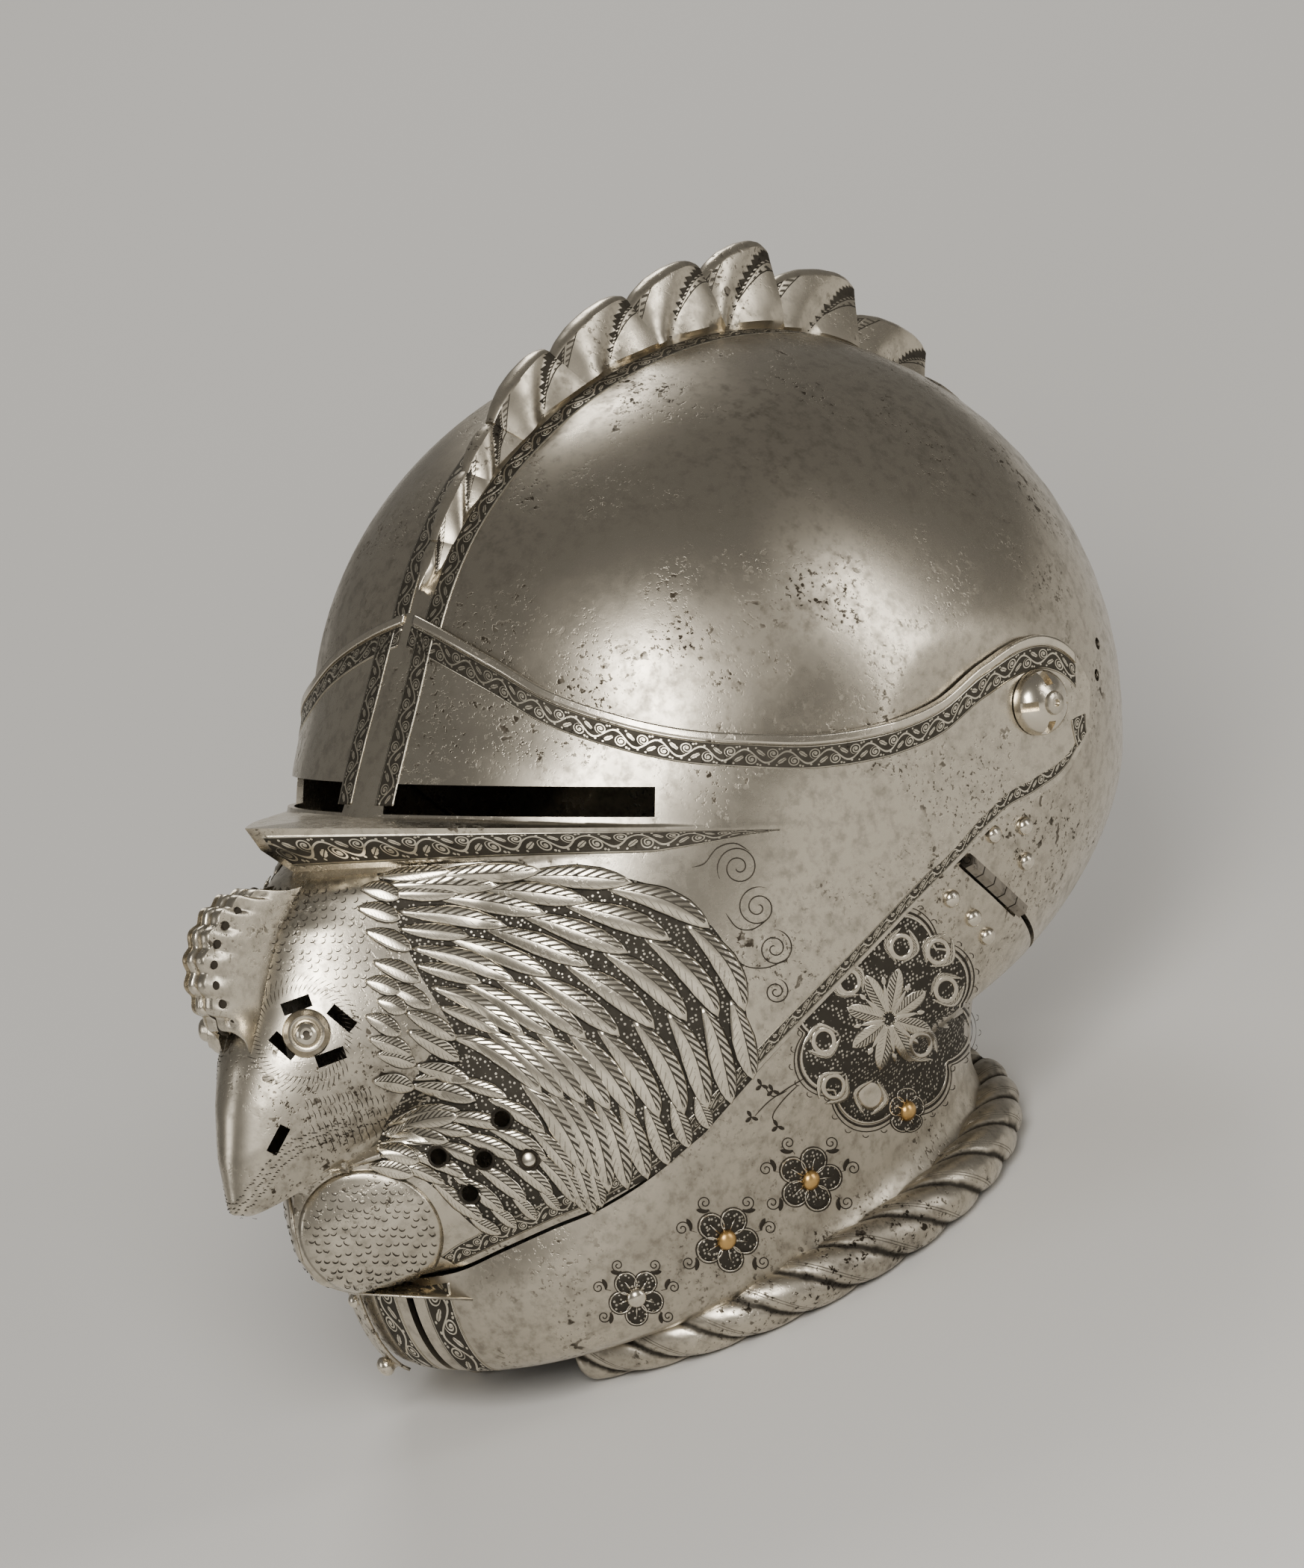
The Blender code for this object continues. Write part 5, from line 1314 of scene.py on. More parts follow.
def make_bands():
    vines, lips = bmesh.new(), bmesh.new()
    top = steps(0.8, (60, 100), (106.5, 90))
    rows = np.linspace(0, 5, 120)
    band_into(vines, visor_strip(top, 0.0030, 0.0098, rows))
    band_into(lips, visor_strip(top, 0.0002, 0.0027, rows, 5), 0.0005)
    low = steps(12, (60, 80), (106.5, 90))
    rows = np.linspace(27, 17, 160)
    band_into(vines, visor_strip(low, 0.0020, 0.0080, rows))
    # Ledge under the sights
    ledge = np.linspace(1.0, 60, 110)
    a, share = np.meshgrid(ledge, np.linspace(0, 1, 9), indexing="ij")
    narrow = np.clip((60 - a) / 16, 0.04, 1) ** 0.6
    band_into(vines, visor_point(a, 7.35 + 0.1 * (1 - narrow) + 1.40 * share * narrow))
    # Round the arm's end behind the pivot
    angles, rows = np.linspace(109.4, 98, 60), np.linspace(5.5, 22.5, 34)
    a, r = np.meshgrid(angles, rows, indexing="ij")
    p = visor_point(a, r)
    run = np.concatenate([np.zeros((1, len(rows))), np.cumsum(np.linalg.norm(np.diff(p, axis=0), axis=-1),
                                                              axis=0)])
    want = np.linspace(0.0016, 0.0072, 9)
    angle = np.array([np.interp(want, run[:, k], angles) for k in range(len(rows))])
    band_into(vines, visor_point(angle, np.repeat(rows[:, None], 9, 1)), 0.00020)
    # Beside the ridge of the brow
    a, r = np.meshgrid(np.linspace(2.2, 5.4, 9), np.linspace(0.35, 4.7, 60), indexing="ij")
    band_into(vines, np.swapaxes(visor_point(a, r), 0, 1))
    thin("visor_vines", vines, "visor", BAND_STEEL, 0.0001)
    thin("visor_lip", lips, "visor", BRIGHT_STEEL, 0.0004)
    # Along both sides of the crest's foot
    beside = bmesh.new()
    turn = np.linspace(171.5, 14, 240)
    foot = crest_place(turn, 0.0)
    inner = np.interp(turn, (14, 40, 70, 125, 145, 160, 172),
                      (.0060, .0085, .0100, .0100, .0074, .0046, .0034))
    nets = []
    for share in np.linspace(0, 1, 9):
        q = foot.copy()
        q[:, 0] = inner + 0.0074 * share
        nets.append(BODY_SKIN.settle(q)[0])
    band_into(beside, np.stack(nets, 1))
    thin("crest_vines", beside, "skull", BAND_STEEL, 0.0001)
    a, t = np.meshgrid(np.linspace(3.0, 9.6, 9), np.linspace(0.35, 0.97, 60), indexing="ij")
    net = np.swapaxes(body_point(a, cheek_top_level(a[:, 0])[:, None] * t), 0, 1)
    for side, side_name in SIDES:
        bm = bmesh.new()
        band_on_side(bm, net, side)
        thin(f"cheek_vines_{side_name}", bm, f"cheek_{side_name}", BAND_STEEL, 0.0001)


make_bands()


# The mask's comb, eyes and wattles
COMB_FIRST, COMB_LAST, COMB_LOBES = math.radians(82), math.radians(246), 8
COMB_RADIUS, COMB_LOBE_DEPTH, COMB_SHIFT = 0.0213, 0.0016, 0.0013


def make_comb():
    """Lobed comb over the brow, with a groove round its rim and drilled marks; dark discs at the marks and
    a dark line in the groove are painted shade.
    """
    first, last = COMB_FIRST, COMB_LAST
    centre = visor_point(0, 11.87)
    t = np.linspace(0, 1, 161)
    v = np.linspace(-1, 1, 45)
    tt, vv = np.meshgrid(t, v, indexing="ij")
    a = first + (last - first) * tt
    lobe = 0.5 - 0.5 * np.cos(2 * math.pi * COMB_LOBES * tt)
    radius = COMB_RADIUS - 0.0012 + COMB_LOBE_DEPTH * lobe ** 0.7
    p = visor_point(0, 11.87 + 4.2 * (t - 0.54))
    base = np.stack([p[:, 1] + 0.0010, p[:, 2]], -1)[:, None, :]
    tip = np.stack([centre[1] - COMB_SHIFT + radius * np.cos(a), centre[2] + radius * np.sin(a)], -1)
    over = np.abs(vv) < 0.5
    rise = np.where(over, 1.0, 1.0 - (np.abs(vv) - 0.5) / 0.5)
    across = np.where(over, vv / 0.5, np.sign(vv))
    rim = 1.0 - 0.10 * np.abs(across) ** 5 * over - 0.15 * np.exp(-(across / 0.13) ** 2) * over
    rise = rise * rim
    yz = base + (tip - base) * rise[..., None]
    cup = np.sin(math.pi * np.clip((rise - 0.70) / 0.26, 0, 1)) * (1 - lobe) * 0.0007
    x = across * (0.0058 - 0.0012 * rise ** 3 - cup * (~over))
    net = np.stack([x, yz[..., 0], yz[..., 1]], -1)
    bm = bmesh.new()
    bm.from_mesh(big_net("comb", to_rest(net)))
    close(bm)
    piece("comb", face_out(mesh_of(bm, "comb")), "visor", VISOR_STEEL)
    # Small dark discs round each side, painted shade of the drilled marks
    marks = bmesh.new()
    for side in (1, -1):
        for k in range(COMB_LOBES):
            b = first + (last - first) * (k + 1.0) / 8.6
            q = np.array([side * 0.00500, centre[1] - COMB_SHIFT + 0.0180 * math.cos(b),
                          centre[2] + 0.0180 * math.sin(b)])
            turned_into(marks, to_rest(q), way_to_rest([side, 0, 0]),
                        [(0, 0.00022), (0.0012, 0.00022), (0.0015, -0.0006), (0, -0.0006)], 12)
    # Dark line in the groove round its rim, painted shade in the groove
    b = a[2:-2, 0]
    middle = (base + (tip - base) * 0.858)[2:-2, 22]
    ring = np.stack([np.zeros(len(b)), middle[:, 0], middle[:, 1]], -1)
    out = np.stack([np.zeros(len(b)), np.cos(b), np.sin(b)], -1)
    round_it = np.linspace(0, 2 * math.pi, 9)
    net = (ring[:, None] + np.cos(round_it)[None, :, None] * np.array([0.0006, 0, 0])
           + np.sin(round_it)[None, :, None] * out[:, None] * 0.0006)
    made = net_into(marks, to_rest(net))
    bmesh.ops.remove_doubles(marks, verts=made, dist=1e-6)
    bmesh.ops.holes_fill(marks, edges=[e for e in marks.edges if e.is_boundary])
    piece("comb_mark_and_groove_shade", face_out(mesh_of(marks, "comb_mark_and_groove_shade")), "visor", LINE_AND_SHADE_STEEL)


def turned_into(bm, middle, way, profile, sides):
    """Add a closed turned shape, in the rest frame."""
    made = net_into(bm, turned_net(middle, way, profile, sides))
    bmesh.ops.remove_doubles(bm, verts=made, dist=1e-6)


def dome_profile(radius, height, seat, depth):
    """Half-round head over a narrower shank, as radius and height pairs from the top down."""
    a = np.linspace(math.pi / 2, 0, 7)
    head = [(radius * math.cos(b), seat + height * math.sin(b)) for b in a]
    return head + [(radius, seat - 0.0002), (radius * 0.6, seat - 0.0003), (radius * 0.6, -depth),
                   (0, -depth)]


EYE_PROFILE = ((0, 4.6), (0.9, 4.6), (1.0, 7.0), (1.7, 7.5), (2.6, 7.1), (3.3, 6.2), (3.7, 5.0), (4.1, 4.5),
               (4.7, 4.7), (5.2, 4.5), (5.5, 3.9), (6.4, 2.9), (6.9, 2.0), (6.9, -1.6), (0, -1.6))


def make_eyes():
    """Turned bosses of the eyes, each with a dark disc in its pupil's pit, which is painted shade."""
    bm, dark = bmesh.new(), bmesh.new()
    for side in (1, -1):
        middle = to_rest(mirror(visor_point(*EYE_PLACE), side))
        way = drill_way(side)
        turned_into(bm, middle, way, [(r / 1000, h / 1000) for r, h in EYE_PROFILE], 36)
        # dark disc at the bottom of each pupil's pit, painted shade
        turned_into(dark, middle, way, [(0, 0.0053), (0.00098, 0.0053), (0.00098, 0.0044), (0, 0.0044)], 16)
    piece("eye_bosses", face_out(mesh_of(bm, "eyes")), "visor", BRIGHT_STEEL)
    piece("eye_pupil_shade", face_out(mesh_of(dark, "pupil_shade")), "visor", LINE_AND_SHADE_STEEL)


def polar(skin, centre, outline, lifts, inner=0.0, sides=64):
    """Round net under a spot: outline gives its reach at each angle, lifts its height by radius."""
    a = np.linspace(0, 2 * math.pi, sides + 1)
    r = np.linspace(inner, 1, len(lifts))
    reach = outline(a)
    spots = np.asarray(centre) + (np.stack([np.cos(a), np.sin(a)], -1) * reach)[:, None] * r[None, :, None]
    p, n = skin.under(spots, np.broadcast_to(np.asarray(lifts, float)[None], (len(a), len(r))))
    uv = np.stack(np.broadcast_arrays((a / (2 * math.pi))[:, None], r[None]), -1)
    return p, n, uv


def oval(rx, ry, tilt=0.0, lobes=0, depth=0.0, power=1.0):
    """Reach of an oval at each angle, scalloped where it has lobes."""
    def reach(a):
        b = a - tilt
        size = rx * ry / np.sqrt((ry * np.cos(b)) ** 2 + (rx * np.sin(b)) ** 2)
        if lobes:
            size = size * (1 - depth + depth * np.abs(np.cos(lobes * b / 2)) ** power)
        return size[:, None]
    return reach


def mask_px(points):
    """Spots of the picture's plane from places on the enlargement of the mask."""
    return np.array([230.0, 960.0]) + np.array(points, float) / 1.5


def make_wattles():
    """Rounded lobes under the beak."""
    bm = bmesh.new()
    r = np.linspace(0, 1, 15)
    lift = 0.0004 + 0.0015 * np.sqrt(np.clip(1 - r ** 3, 0, 1))
    p, n, uv = polar(VISOR_SKIN, (497, 1647), oval(97, 84, 0.25), lift)
    lay(bm, p, n, uv)
    bmesh.ops.remove_doubles(bm, verts=bm.verts, dist=1e-6)
    thin("wattles", bm, "visor", VISOR_STEEL, 0.0006)


BREATH_RIM = ((0.00235, -0.0016), (0.00235, 0.0011), (0.0027, 0.0014), (0.0031, 0.0011), (0.0034, -0.0016),
              (0.00235, -0.0016))
PLUGGED_BREATH = 3


def make_breath_rims():
    """Raised rims of the breath holes, in a dark colour that also lines each hole's wall as painted shade,
    and the one that is plugged.
    """
    bm, plugs = bmesh.new(), bmesh.new()
    for side in (1, -1):
        way = drill_way(side)
        for k, place in enumerate(BREATHS):
            middle = to_rest(mirror(visor_point(*place), side))
            # dark ring round and inside each breath hole, painted shade
            turned_into(bm, middle, way, BREATH_RIM, 24)
            if k == PLUGGED_BREATH:
                turned_into(plugs, middle, way, [(0, 0.0008), (0.0016, 0.0007), (0.00232, 0.0003),
                                                 (0.00232, -0.0010), (0, -0.0010)], 20)
    piece("breath_rim_shade", face_out(mesh_of(bm, "rims")), "visor", LINE_AND_SHADE_STEEL)
    piece("breath_plugs", face_out(mesh_of(plugs, "plugs")), "visor", BRIGHT_STEEL)


make_comb()
make_eyes()
make_wattles()
make_breath_rims()


# Small engraved marks of the mask
EYE_SPOT = np.array([265, 632])


def mark_strokes():
    """Scales, rays, hatching and tendrils cut into the mask, and the scales of the wattle."""
    rng = np.random.default_rng(7)
    bm = bmesh.new()

    def scale_mark(spot, turn, size, lift):
        b = np.linspace(-1.25, 1.25, 7) + turn
        ribbon_into(bm, VISOR_SKIN, np.stack([np.cos(b), np.sin(b)], -1) * size + spot, 0.00030, lift, 0.2)

    # Scales on the forehead between comb and feathers
    for y in np.arange(345, 545, 17):
        for x in np.arange(150 + (y * 0.7) % 13, 395, 19):
            spot = np.array([x + rng.uniform(-4, 4), y + rng.uniform(-4, 4)])
            if np.hypot(spot[0] - 265, (spot[1] - 630) * 0.9) < 118 or x < 120 + (y - 345) * 0.1:
                continue
            scale_mark(mask_px(spot), rng.uniform(0.6, 1.2), 4.4, LINE_LIFT)
    # Scales on the wattle
    for y in np.arange(925, 1150, 17):
        for x in np.arange(270 + (y * 0.6) % 14, 540, 19):
            spot = np.array([x + rng.uniform(-4, 4), y + rng.uniform(-4, 4)])
            if ((spot[0] - 400) / 136) ** 2 + ((spot[1] - 1030) / 117) ** 2 < 0.90:
                q = ((spot[0] - 400) / 145) ** 2 + ((spot[1] - 1030) / 126) ** 2
                scale_mark(mask_px(spot), rng.uniform(1.2, 2.2), 4.4,
                           0.0004 + 0.0015 * math.sqrt(max(0.0, 1 - q ** 1.5)) + 0.00016)
    # Rays round the eye
    for ring, (near, far, count) in enumerate(((84, 101, 64), (104, 118, 58))):
        for b in np.linspace(0, 2 * math.pi, count, endpoint=False):
            if math.sin(b) < -0.2 or ring == 0 or abs(math.cos(b)) < 0.9:
                b0 = b + 0.05 * ring
                d = np.array([math.cos(b0), math.sin(b0)])
                e = np.array([math.cos(b0 + 0.10), math.sin(b0 + 0.10)])
                ray = [EYE_SPOT + d * near, EYE_SPOT + (d + e) / 2 * (near + far) / 2, EYE_SPOT + e * far]
                ribbon_into(bm, VISOR_SKIN, mask_px(ray), 0.00026, LINE_LIFT, 0.3)
    # Hatching over the cheek of the mask, along the beak's upper line
    for x0, y0, x1, y1 in ((270, 762, 395, 738), (275, 786, 420, 752), (282, 812, 450, 768),
                           (292, 836, 480, 782), (320, 842, 520, 792)):
        for t in np.linspace(0, 1, 15):
            x, y = x0 + (x1 - x0) * t, y0 + (y1 - y0) * t
            ribbon_into(bm, VISOR_SKIN, mask_px([(x, y), (x + 5, y + 9), (x + 7, y + 18)]), 0.00026,
                        LINE_LIFT, 0.3)
    # Stipple along the beak's lower edge
    edge = smooth_line([(150, 1000), (185, 965), (222, 915), (262, 876), (330, 845), (420, 812),
                        (520, 788)], 60)
    for k, (x, y) in enumerate(edge):
        for row in range(3):
            dx, dy = -6 - 10 * row + rng.uniform(-2, 2), -9 * row - 4 + rng.uniform(-3, 3)
            if k < 40 or row == 0:
                ribbon_into(bm, VISOR_SKIN, mask_px([(x + dx, y + dy), (x + dx - 3, y + dy - 1),
                                                     (x + dx - 6, y + dy)]), 0.00034, LINE_LIFT, 0.3)
    # Tendrils beside the fan
    for x, y, r, turn, hand in ((1133, 300, 44, 2.6, 1), (1172, 380, 42, -1.2, -1),
                                (1205, 462, 38, -1.6, 1), (1208, 548, 26, -1.4, 1)):
        b = np.linspace(0, 4.1 * math.pi, 60)
        reach = r * (1 - b / (4.6 * math.pi))
        curl = np.stack([x + reach * np.cos(turn + hand * b), y + reach * np.sin(turn + hand * b)], -1)
        ribbon_into(bm, VISOR_SKIN, mask_px(curl), 0.00034, LINE_LIFT, 0.05)
    for line in (((1040, 300), (1065, 292), (1090, 262), (1125, 252), (1155, 268)),
                 ((1108, 392), (1130, 420), (1160, 424), (1190, 405)),
                 ((1120, 478), (1150, 498), (1190, 500), (1225, 485))):
        ribbon_into(bm, VISOR_SKIN, mask_px(smooth_line(line, 24)), 0.00034, LINE_LIFT, 0.1)
    thin("mask_marks", bm, "visor", LINE_AND_SHADE_STEEL, 0.0001)


mark_strokes()


# Rosette and flowers of the cheekpieces
def cheek_px(points):
    """Spots of the picture's plane from places on the enlargement of the cheek."""
    return np.array([900.0, 860.0]) + np.array(points, float) / 2.0


def both():
    """An empty mesh for each cheekpiece."""
    return {1: bmesh.new(), -1: bmesh.new()}


def thin_pair(name, pair, material, thickness):
    """Thin piece on each cheekpiece from a pair of meshes."""
    for side, side_name in SIDES:
        bmesh.ops.remove_doubles(pair[side], verts=pair[side].verts, dist=1e-7)
        thin(f"{name}_{side_name}", pair[side], f"cheek_{side_name}", material, thickness)


PLUGGED_DISC = (525, 1212)


def make_rosette():
    """Scalloped etched disc with a flower, and petals round each of its holes."""
    ground, bright, lines, petals = both(), both(), both(), both()
    centre = cheek_px((560, 1006))
    hub = cheek_px((572, 1005))
    outline = oval(117, 141, 0.22, 8, 0.17, 0.75)
    p, n, uv = polar(BODY_SKIN, centre, outline, np.full(14, 0.00010), inner=0.02, sides=160)
    lay(ground, p, n, uv)
    for scale, width, target in ((1.0, 0.00065, bright), (1.035, 0.0007, lines), (1.085, 0.00028, lines)):
        a = np.linspace(0, 2 * math.pi, 161)
        spots = centre + np.stack([np.cos(a), np.sin(a)], -1) * outline(a) * scale
        ribbon_into(target, BODY_SKIN, spots, width, 0.00016, 0)
    # Small scallops round the outside
    for b in np.linspace(0, 2 * math.pi, 40, endpoint=False):
        foot = centre + np.array([math.cos(b), math.sin(b)]) * outline(np.array([b]))[0, 0] * 1.11
        c = np.linspace(-1.4, 1.4, 7) + b
        scallop = foot + np.stack([np.cos(c), np.sin(c)], -1) * 4.2
        ribbon_into(lines, BODY_SKIN, scallop, 0.00022, LINE_LIFT, 0.2)
    for k in range(8):
        b = 2 * math.pi * k / 8 - 1.35
        d = np.array([math.cos(b) * 0.83, math.sin(b)])
        e = np.array([math.cos(b + math.pi / 8) * 0.83, math.sin(b + math.pi / 8)])
        blade_into(petals, BODY_SKIN, np.stack([hub + d * 9, hub + d * 40, hub + d * 70]), 23.0,
                   0.00016, 0.00028, 0.0)
        blade_into(bright, BODY_SKIN, np.stack([hub + e * 46, hub + e * 26, hub + e * 8]), 7.5,
                   0.00016, 0.00024, 0.0)
        blade_into(bright, BODY_SKIN, np.stack([hub + e * 58, hub + e * 54, hub + e * 46]), 7.0,
                   0.00016, 0.00024, 0.0)
    for x, y in ((605, 812), (703, 825), (465, 905), (725, 928), (398, 1062), (657, 1075), (425, 1185),
                 PLUGGED_DISC):
        spot = cheek_px((x, y))
        out = spot - hub
        out /= np.linalg.norm(out)
        side_way = np.array([-out[1], out[0]])
        inner = 0.0 if (x, y) == PLUGGED_DISC else 0.62
        p, n, uv = polar(BODY_SKIN, spot, oval(17, 19), (0.00018, 0.00034, 0.00030, 0.00016), inner=inner,
                         sides=28)
        lay(bright, p, n, uv)
        for sign in (-1, 1):
            blade_into(petals, BODY_SKIN, np.stack([spot - out * 22 + side_way * sign * 3,
                                                    spot + side_way * sign * 21,
                                                    spot + out * 25 + side_way * sign * 5]), 8.0,
                       0.00014, 0.00022, 0.0)
    thin_pair("rosette_ground", ground, GROUND_STEEL, 0.00008)
    thin_pair("rosette_petals", petals, FEATHER_STEEL, 0.00012)
    thin_pair("rosette_bright", bright, BRIGHT_STEEL, 0.00012)
    thin_pair("rosette_lines", lines, LINE_AND_SHADE_STEEL, 0.00008)


def make_flowers():
    """Flower round each rivet at the cheekpiece's foot, with its tendrils."""
    ground, bright, lines = both(), both(), both()
    for k, (angle, level) in enumerate(LINING_RIVETS):
        spot = picture(body_point(angle, level))
        size = (0.80, 1.0, 1.0, 0.86)[k]
        rx, ry = 40 * size * (0.7 if k == 0 else 1.0), 42 * size
        for j in range(5):
            b = 2 * math.pi * j / 5 - 1.57 + 0.2 * k
            d = np.array([math.cos(b) * rx, math.sin(b) * ry])
            middle = spot + d * 0.62
            p, n, uv = polar(BODY_SKIN, middle, oval(0.40 * rx, 0.40 * ry, b, 2, 0.10),
                             (0.0001, 0.0002, 0.0002, 0.0001), inner=0.04, sides=24)
            lay(ground, p, n, uv)
            a = np.linspace(0, 2 * math.pi, 25)
            for scale, width, target in ((1.04, 0.00032, bright), (1.17, 0.00026, lines)):
                ribbon_into(target, BODY_SKIN, middle + np.stack([np.cos(a), np.sin(a)], -1)
                            * oval(0.40 * rx, 0.40 * ry, b, 2, 0.10)(a) * scale, width, 0.00018, 0)
            # Stamen strokes
            ribbon_into(bright, BODY_SKIN, np.stack([spot + d * 0.30, spot + d * 0.52, spot + d * 0.72]),
                        0.0004, 0.00026, 0.3)
        if k:
            # Tendrils that leave the flower on both sides
            for sign in (-1, 1):
                for turn, reach, hand in ((-0.25, 1.50, 1), (-1.05, 1.42, -1), (0.55, 1.45, -1)):
                    d = np.array([sign * math.cos(turn), math.sin(turn)])
                    middle = spot + d * rx * reach
                    start = math.atan2(-d[1], -d[0])
                    b = np.linspace(0, 3.2 * math.pi, 34)
                    size = rx * 0.26 * (1 - b / (3.7 * math.pi))
                    way = start + sign * hand * b
                    curl = middle + np.stack([np.cos(way), np.sin(way)], -1) * size[:, None]
                    ribbon_into(lines, BODY_SKIN, np.concatenate([[spot + d * rx], curl]), 0.00030,
                                LINE_LIFT, 0.06)
                    e = np.array([-d[1], d[0]]) * sign * hand
                    blade_into(lines, BODY_SKIN, np.stack([middle - d * rx * 0.30, middle - d * rx * 0.24
                                                           - e * rx * 0.16, middle - d * rx * 0.06
                                                           - e * rx * 0.36]), 6.0, 0.0001, 0.0001, 0.0)
    # Sprig between rosette and mask
    for x, y in ((205, 1265), (262, 1195), (232, 1180), (275, 1290)):
        for turn in (0.4, 2.4, 4.2):
            d = np.array([math.cos(turn), math.sin(turn)])
            spot = cheek_px((x, y))
            leaf = np.stack([spot, spot + d * 5, spot + d * 10])
            blade_into(lines, BODY_SKIN, leaf, 5.0, 0.0001, 0.0001, 0.0)
    for line in (((215, 1262), (250, 1225), (300, 1190), (350, 1160)),
                 ((240, 1180), (262, 1210), (300, 1195)),
                 ((275, 1290), (262, 1262), (290, 1220), (330, 1180))):
        ribbon_into(lines, BODY_SKIN, cheek_px(smooth_line(line, 16)), 0.0003, LINE_LIFT, 0.1)
    thin_pair("flower_ground", ground, GROUND_STEEL, 0.00008)
    thin_pair("flower_bright", bright, BRIGHT_STEEL, 0.0001)
    thin_pair("flower_lines", lines, LINE_AND_SHADE_STEEL, 0.00008)


make_rosette()
make_flowers()


# Rivets and pivots
SMALL_RIVET, CAPPED_RIVET = (0.0027, 0.0021, 0.0002), (0.0030, 0.0022, 0.0004)
RIVET_DEPTH, SKULL_RIVET_DEPTH = 0.0016, 0.0018


def make_rivets():
    """Domed rivets on the bowl, at the hinges and along the foot of the cheekpieces."""
    on_skull = bmesh.new()
    skull_nodes = []
    for side, side_name in SIDES:
        for k, spot in enumerate(SKULL_RIVETS):
            p, n = plate_spot(*spot, side)
            turned_into(on_skull, p, n, dome_profile(*SMALL_RIVET, SKULL_RIVET_DEPTH), 20)
            skull_nodes.append(f"skull_rivet_{side_name}_{k + 1}")
    piece("skull_rivets", face_out(mesh_of(on_skull, "rivets")), "skull", BRIGHT_STEEL,
          replaces=skull_nodes)
    for side, side_name in SIDES:
        body = f"cheek_{side_name}"
        bm = bmesh.new()
        for spot in CHEEK_RIVETS:
            p, n = plate_spot(*spot, side)
            turned_into(bm, p, n, dome_profile(*SMALL_RIVET, RIVET_DEPTH), 20)
        piece(f"hinge_rivets_{side_name}", face_out(mesh_of(bm, "rivets")), body,
              BRIGHT_STEEL, replaces=[f"hinge_rivet_{side_name}_{k}" for k in (1, 2, 3)])
        bm, iron = bmesh.new(), bmesh.new()
        for k, spot in enumerate(LINING_RIVETS):
            p, n = plate_spot(*spot, side)
            turned_into(bm if k < 3 else iron, p, n, dome_profile(*CAPPED_RIVET, RIVET_DEPTH), 24)
        piece(f"lining_rivets_{side_name}", face_out(mesh_of(bm, "rivets")), body, BRASS,
              replaces=[f"lining_rivet_{side_name}_{k}" for k in (1, 2, 3)])
        piece(f"front_rivet_{side_name}", face_out(mesh_of(iron, "rivets")), body,
              BRIGHT_STEEL, replaces=[f"lining_rivet_{side_name}_4"])


PIVOT_HEAD_RADIUS, PIVOT_HEAD_RISE, PIVOT_SHANK_RADIUS, PIVOT_SEAT = 0.0095, 0.0068, 0.0035, 0.1070
SCREW_PROFILE = ((0, 0.0066), (0.0009, 0.0066), (0.0011, 0.0078), (0.0022, 0.0079), (0.0031, 0.0075),
                 (0.0035, 0.0066), (0.0036, 0.0052), (0, 0.0052))


def make_pivots():
    """Slotted domes over the visor's pivots, each with the end of its screw."""
    bm, screws, holes = bmesh.new(), bmesh.new(), bmesh.new()
    a = np.linspace(math.pi / 2, 0, 9)
    head = [(PIVOT_HEAD_RADIUS * math.cos(b), PIVOT_HEAD_RISE * math.sin(b) + 0.0002) for b in a]
    for side in (1, -1):
        middle = to_rest(np.array([side * PIVOT_SEAT, PIVOT_Y, PIVOT_Z]))
        way = np.array([side, 0.0, 0.0])
        turned_into(bm, middle, way, head + [(PIVOT_HEAD_RADIUS, -0.0001), (PIVOT_SHANK_RADIUS, -0.0002),
                                             (PIVOT_SHANK_RADIUS, -0.0065), (0, -0.0065)], 36)
        turned_into(screws, middle, way, SCREW_PROFILE, 28)
        for turn in (0.15, 1.75, 3.3, 4.75):
            d = way_to_rest([0.0, math.cos(turn), math.sin(turn)])
            block(holes, middle + d * 0.0073 + way * 0.0052, d, way, (0.0042, 0.0026, 0.0060))
    domes = piece("pivot_heads", face_out(mesh_of(bm, "pivots")), "skull", BRIGHT_STEEL,
                  replaces=["pivot_left", "pivot_right"])
    cut(domes, mesh_of(holes, "slots"))
    piece("pivot_screws", face_out(mesh_of(screws, "screws")), "skull", VISOR_STEEL)


CATCH_HALF_WIDTH, CATCH_RISE, CATCH_THICKNESS, CATCH_STUD_RADIUS = 0.0035, 0.0025, 0.001, 0.003


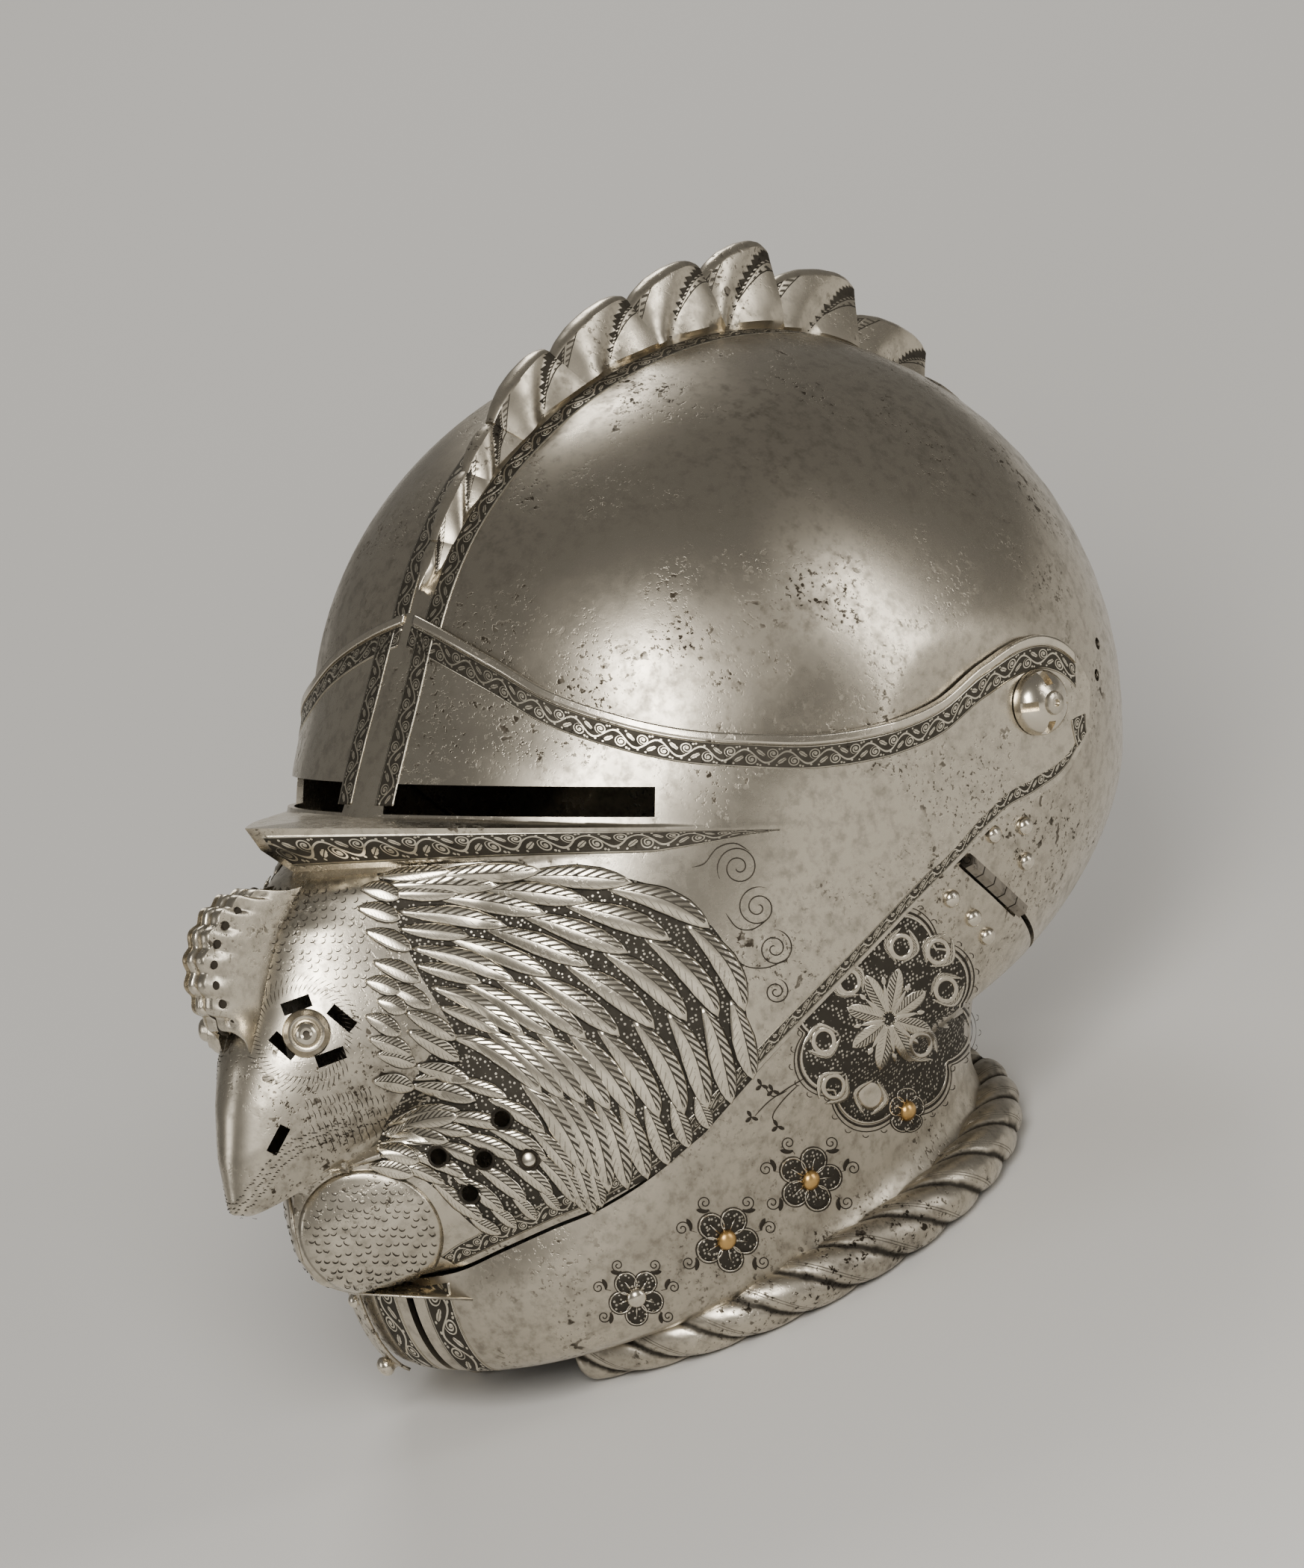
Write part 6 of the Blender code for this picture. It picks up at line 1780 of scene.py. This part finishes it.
def make_catch():
    """Strip of the chin's catch on the right cheekpiece, with its stud and rivet."""
    def strip(share, level):
        centre = body_point(15.5, level)
        n = np.cross(body_point(15.5, level + 0.05) - centre, body_point(12, level) - centre)
        n /= np.linalg.norm(n)
        n = -n if n[1] > 0 else n
        across = body_point(18, level) - body_point(13, level)
        across /= np.linalg.norm(across)
        return mirror(centre + n * CATCH_RISE + across * share * CATCH_HALF_WIDTH, -1)

    levels, shares = np.linspace(0.9, 2.1, 17), np.linspace(-1, 1, 9)
    net = np.array([[strip(s, v) for s in shares] for v in levels])
    bm = bmesh.new()
    made = net_into(bm, to_rest(net))
    turn_nets_out(bm, made, Vector(way_to_rest([0.0, -1.0, 0.0])))
    catch = piece("catch_strip", mesh_of(bm, "catch_strip"), "cheek_right", CHEEK_STEEL,
                  replaces=["chin_catch"])
    wall(catch, CATCH_THICKNESS)
    studs = bmesh.new()
    r = CATCH_STUD_RADIUS
    turned_into(studs, to_rest(strip(0, 1.1)), way_to_rest([-0.35, -0.75, -0.55]),
                [(0, 1.5 * r), (0.35 * r, 1.47 * r), (0.66 * r, 1.34 * r), (0.9 * r, 1.08 * r),
                 (r, 0.78 * r), (0.92 * r, 0.48 * r), (0.78 * r, 0.26 * r), (0.7 * r, 0.1 * r),
                 (0.7 * r, -0.0006), (0, -0.0006)], 28)
    turned_into(studs, to_rest(strip(0, 1.9)), way_to_rest([-0.2, -0.98, 0.0]),
                dome_profile(0.0021, 0.0017, 0.0001, 0.0008), 20)
    piece("catch_stud", face_out(mesh_of(studs, "catch_stud")), "cheek_right", BRIGHT_STEEL)


make_rivets()
make_pivots()
make_catch()

# The rest of the frame's own parts take the same finishes
for label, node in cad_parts.items():
    if node.type == "MESH":
        node.data.materials.clear()
        node.data.materials.append(IRON if "leaf" in label or "pin" in label else BRIGHT_STEEL)


# Camera, floor and light
CAMERA_DISTANCE, SENSOR = 12.0, 36.0
PICTURE_LENGTH, SPOTS_PER_METRE = 2100, 4700.0
LIGHT_TINT = (1.0, 0.97, 0.92)


def make_camera():
    """Long lens along the picture's line of sight, far enough off for its flat look."""
    right = PICTURE[0] / np.linalg.norm(PICTURE[0])
    back = TO_CAMERA
    up = np.cross(back, right)
    data = bpy.data.cameras.new("camera")
    data.lens = SENSOR * CAMERA_DISTANCE / (PICTURE_LENGTH / SPOTS_PER_METRE)
    data.sensor_fit = "AUTO"
    data.sensor_width = SENSOR
    data.clip_end = 50.0
    camera = bpy.data.objects.new("camera", data)
    turn = TO_REST @ np.stack([right, up, back], 1)
    target = to_rest(np.array([0.0, -0.0295, 0.0]))
    place = target + (TO_REST @ back) * CAMERA_DISTANCE
    camera.matrix_world = Matrix(((*turn[0], place[0]), (*turn[1], place[1]), (*turn[2], place[2]),
                                  (0, 0, 0, 1)))
    bpy.context.scene.collection.objects.link(camera)
    bpy.context.scene.camera = camera


def make_floor():
    bm = bmesh.new()
    bmesh.ops.create_grid(bm, x_segments=2, y_segments=2, size=12.0)
    mesh = mesh_of(bm, "floor")
    floor = bpy.data.objects.new("floor", mesh)
    floor.location.z = -0.0002
    mat = bpy.data.materials.new("pale_floor")
    mat.use_nodes = True
    shader = mat.node_tree.nodes["Principled BSDF"]
    shader.inputs["Base Color"].default_value = (0.72, 0.71, 0.69, 1)
    shader.inputs["Roughness"].default_value = 0.75
    mesh.materials.append(mat)
    bpy.context.scene.collection.objects.link(floor)


def make_light(name, place, aim, size, power):
    data = bpy.data.lights.new(name, "AREA")
    data.shape = "RECTANGLE"
    data.size, data.size_y = size
    data.energy = power
    data.color = LIGHT_TINT
    light = bpy.data.objects.new(name, data)
    light.location = place
    light.rotation_euler = (Vector(aim) - Vector(place)).to_track_quat("-Z", "Y").to_euler()
    bpy.context.scene.collection.objects.link(light)


def make_world():
    world = bpy.data.worlds.new("studio")
    world.use_nodes = True
    back = world.node_tree.nodes["Background"]
    back.inputs["Color"].default_value = (0.82, 0.79, 0.74, 1)
    back.inputs["Strength"].default_value = 0.22
    bpy.context.scene.world = world


make_camera()
make_floor()
make_world()
make_light("key", (1.25, -1.05, 1.15), (0.0, 0.0, 0.12), (0.6, 0.9), 34)
make_light("side", (1.6, 0.9, 0.55), (0.0, 0.0, 0.12), (0.4, 1.2), 9)
make_light("fill", (-0.9, -1.7, 0.8), (0.0, 0.0, 0.12), (0.7, 1.0), 6)
make_light("rim", (-1.1, 1.0, 1.2), (0.0, 0.0, 0.15), (0.5, 0.9), 10)
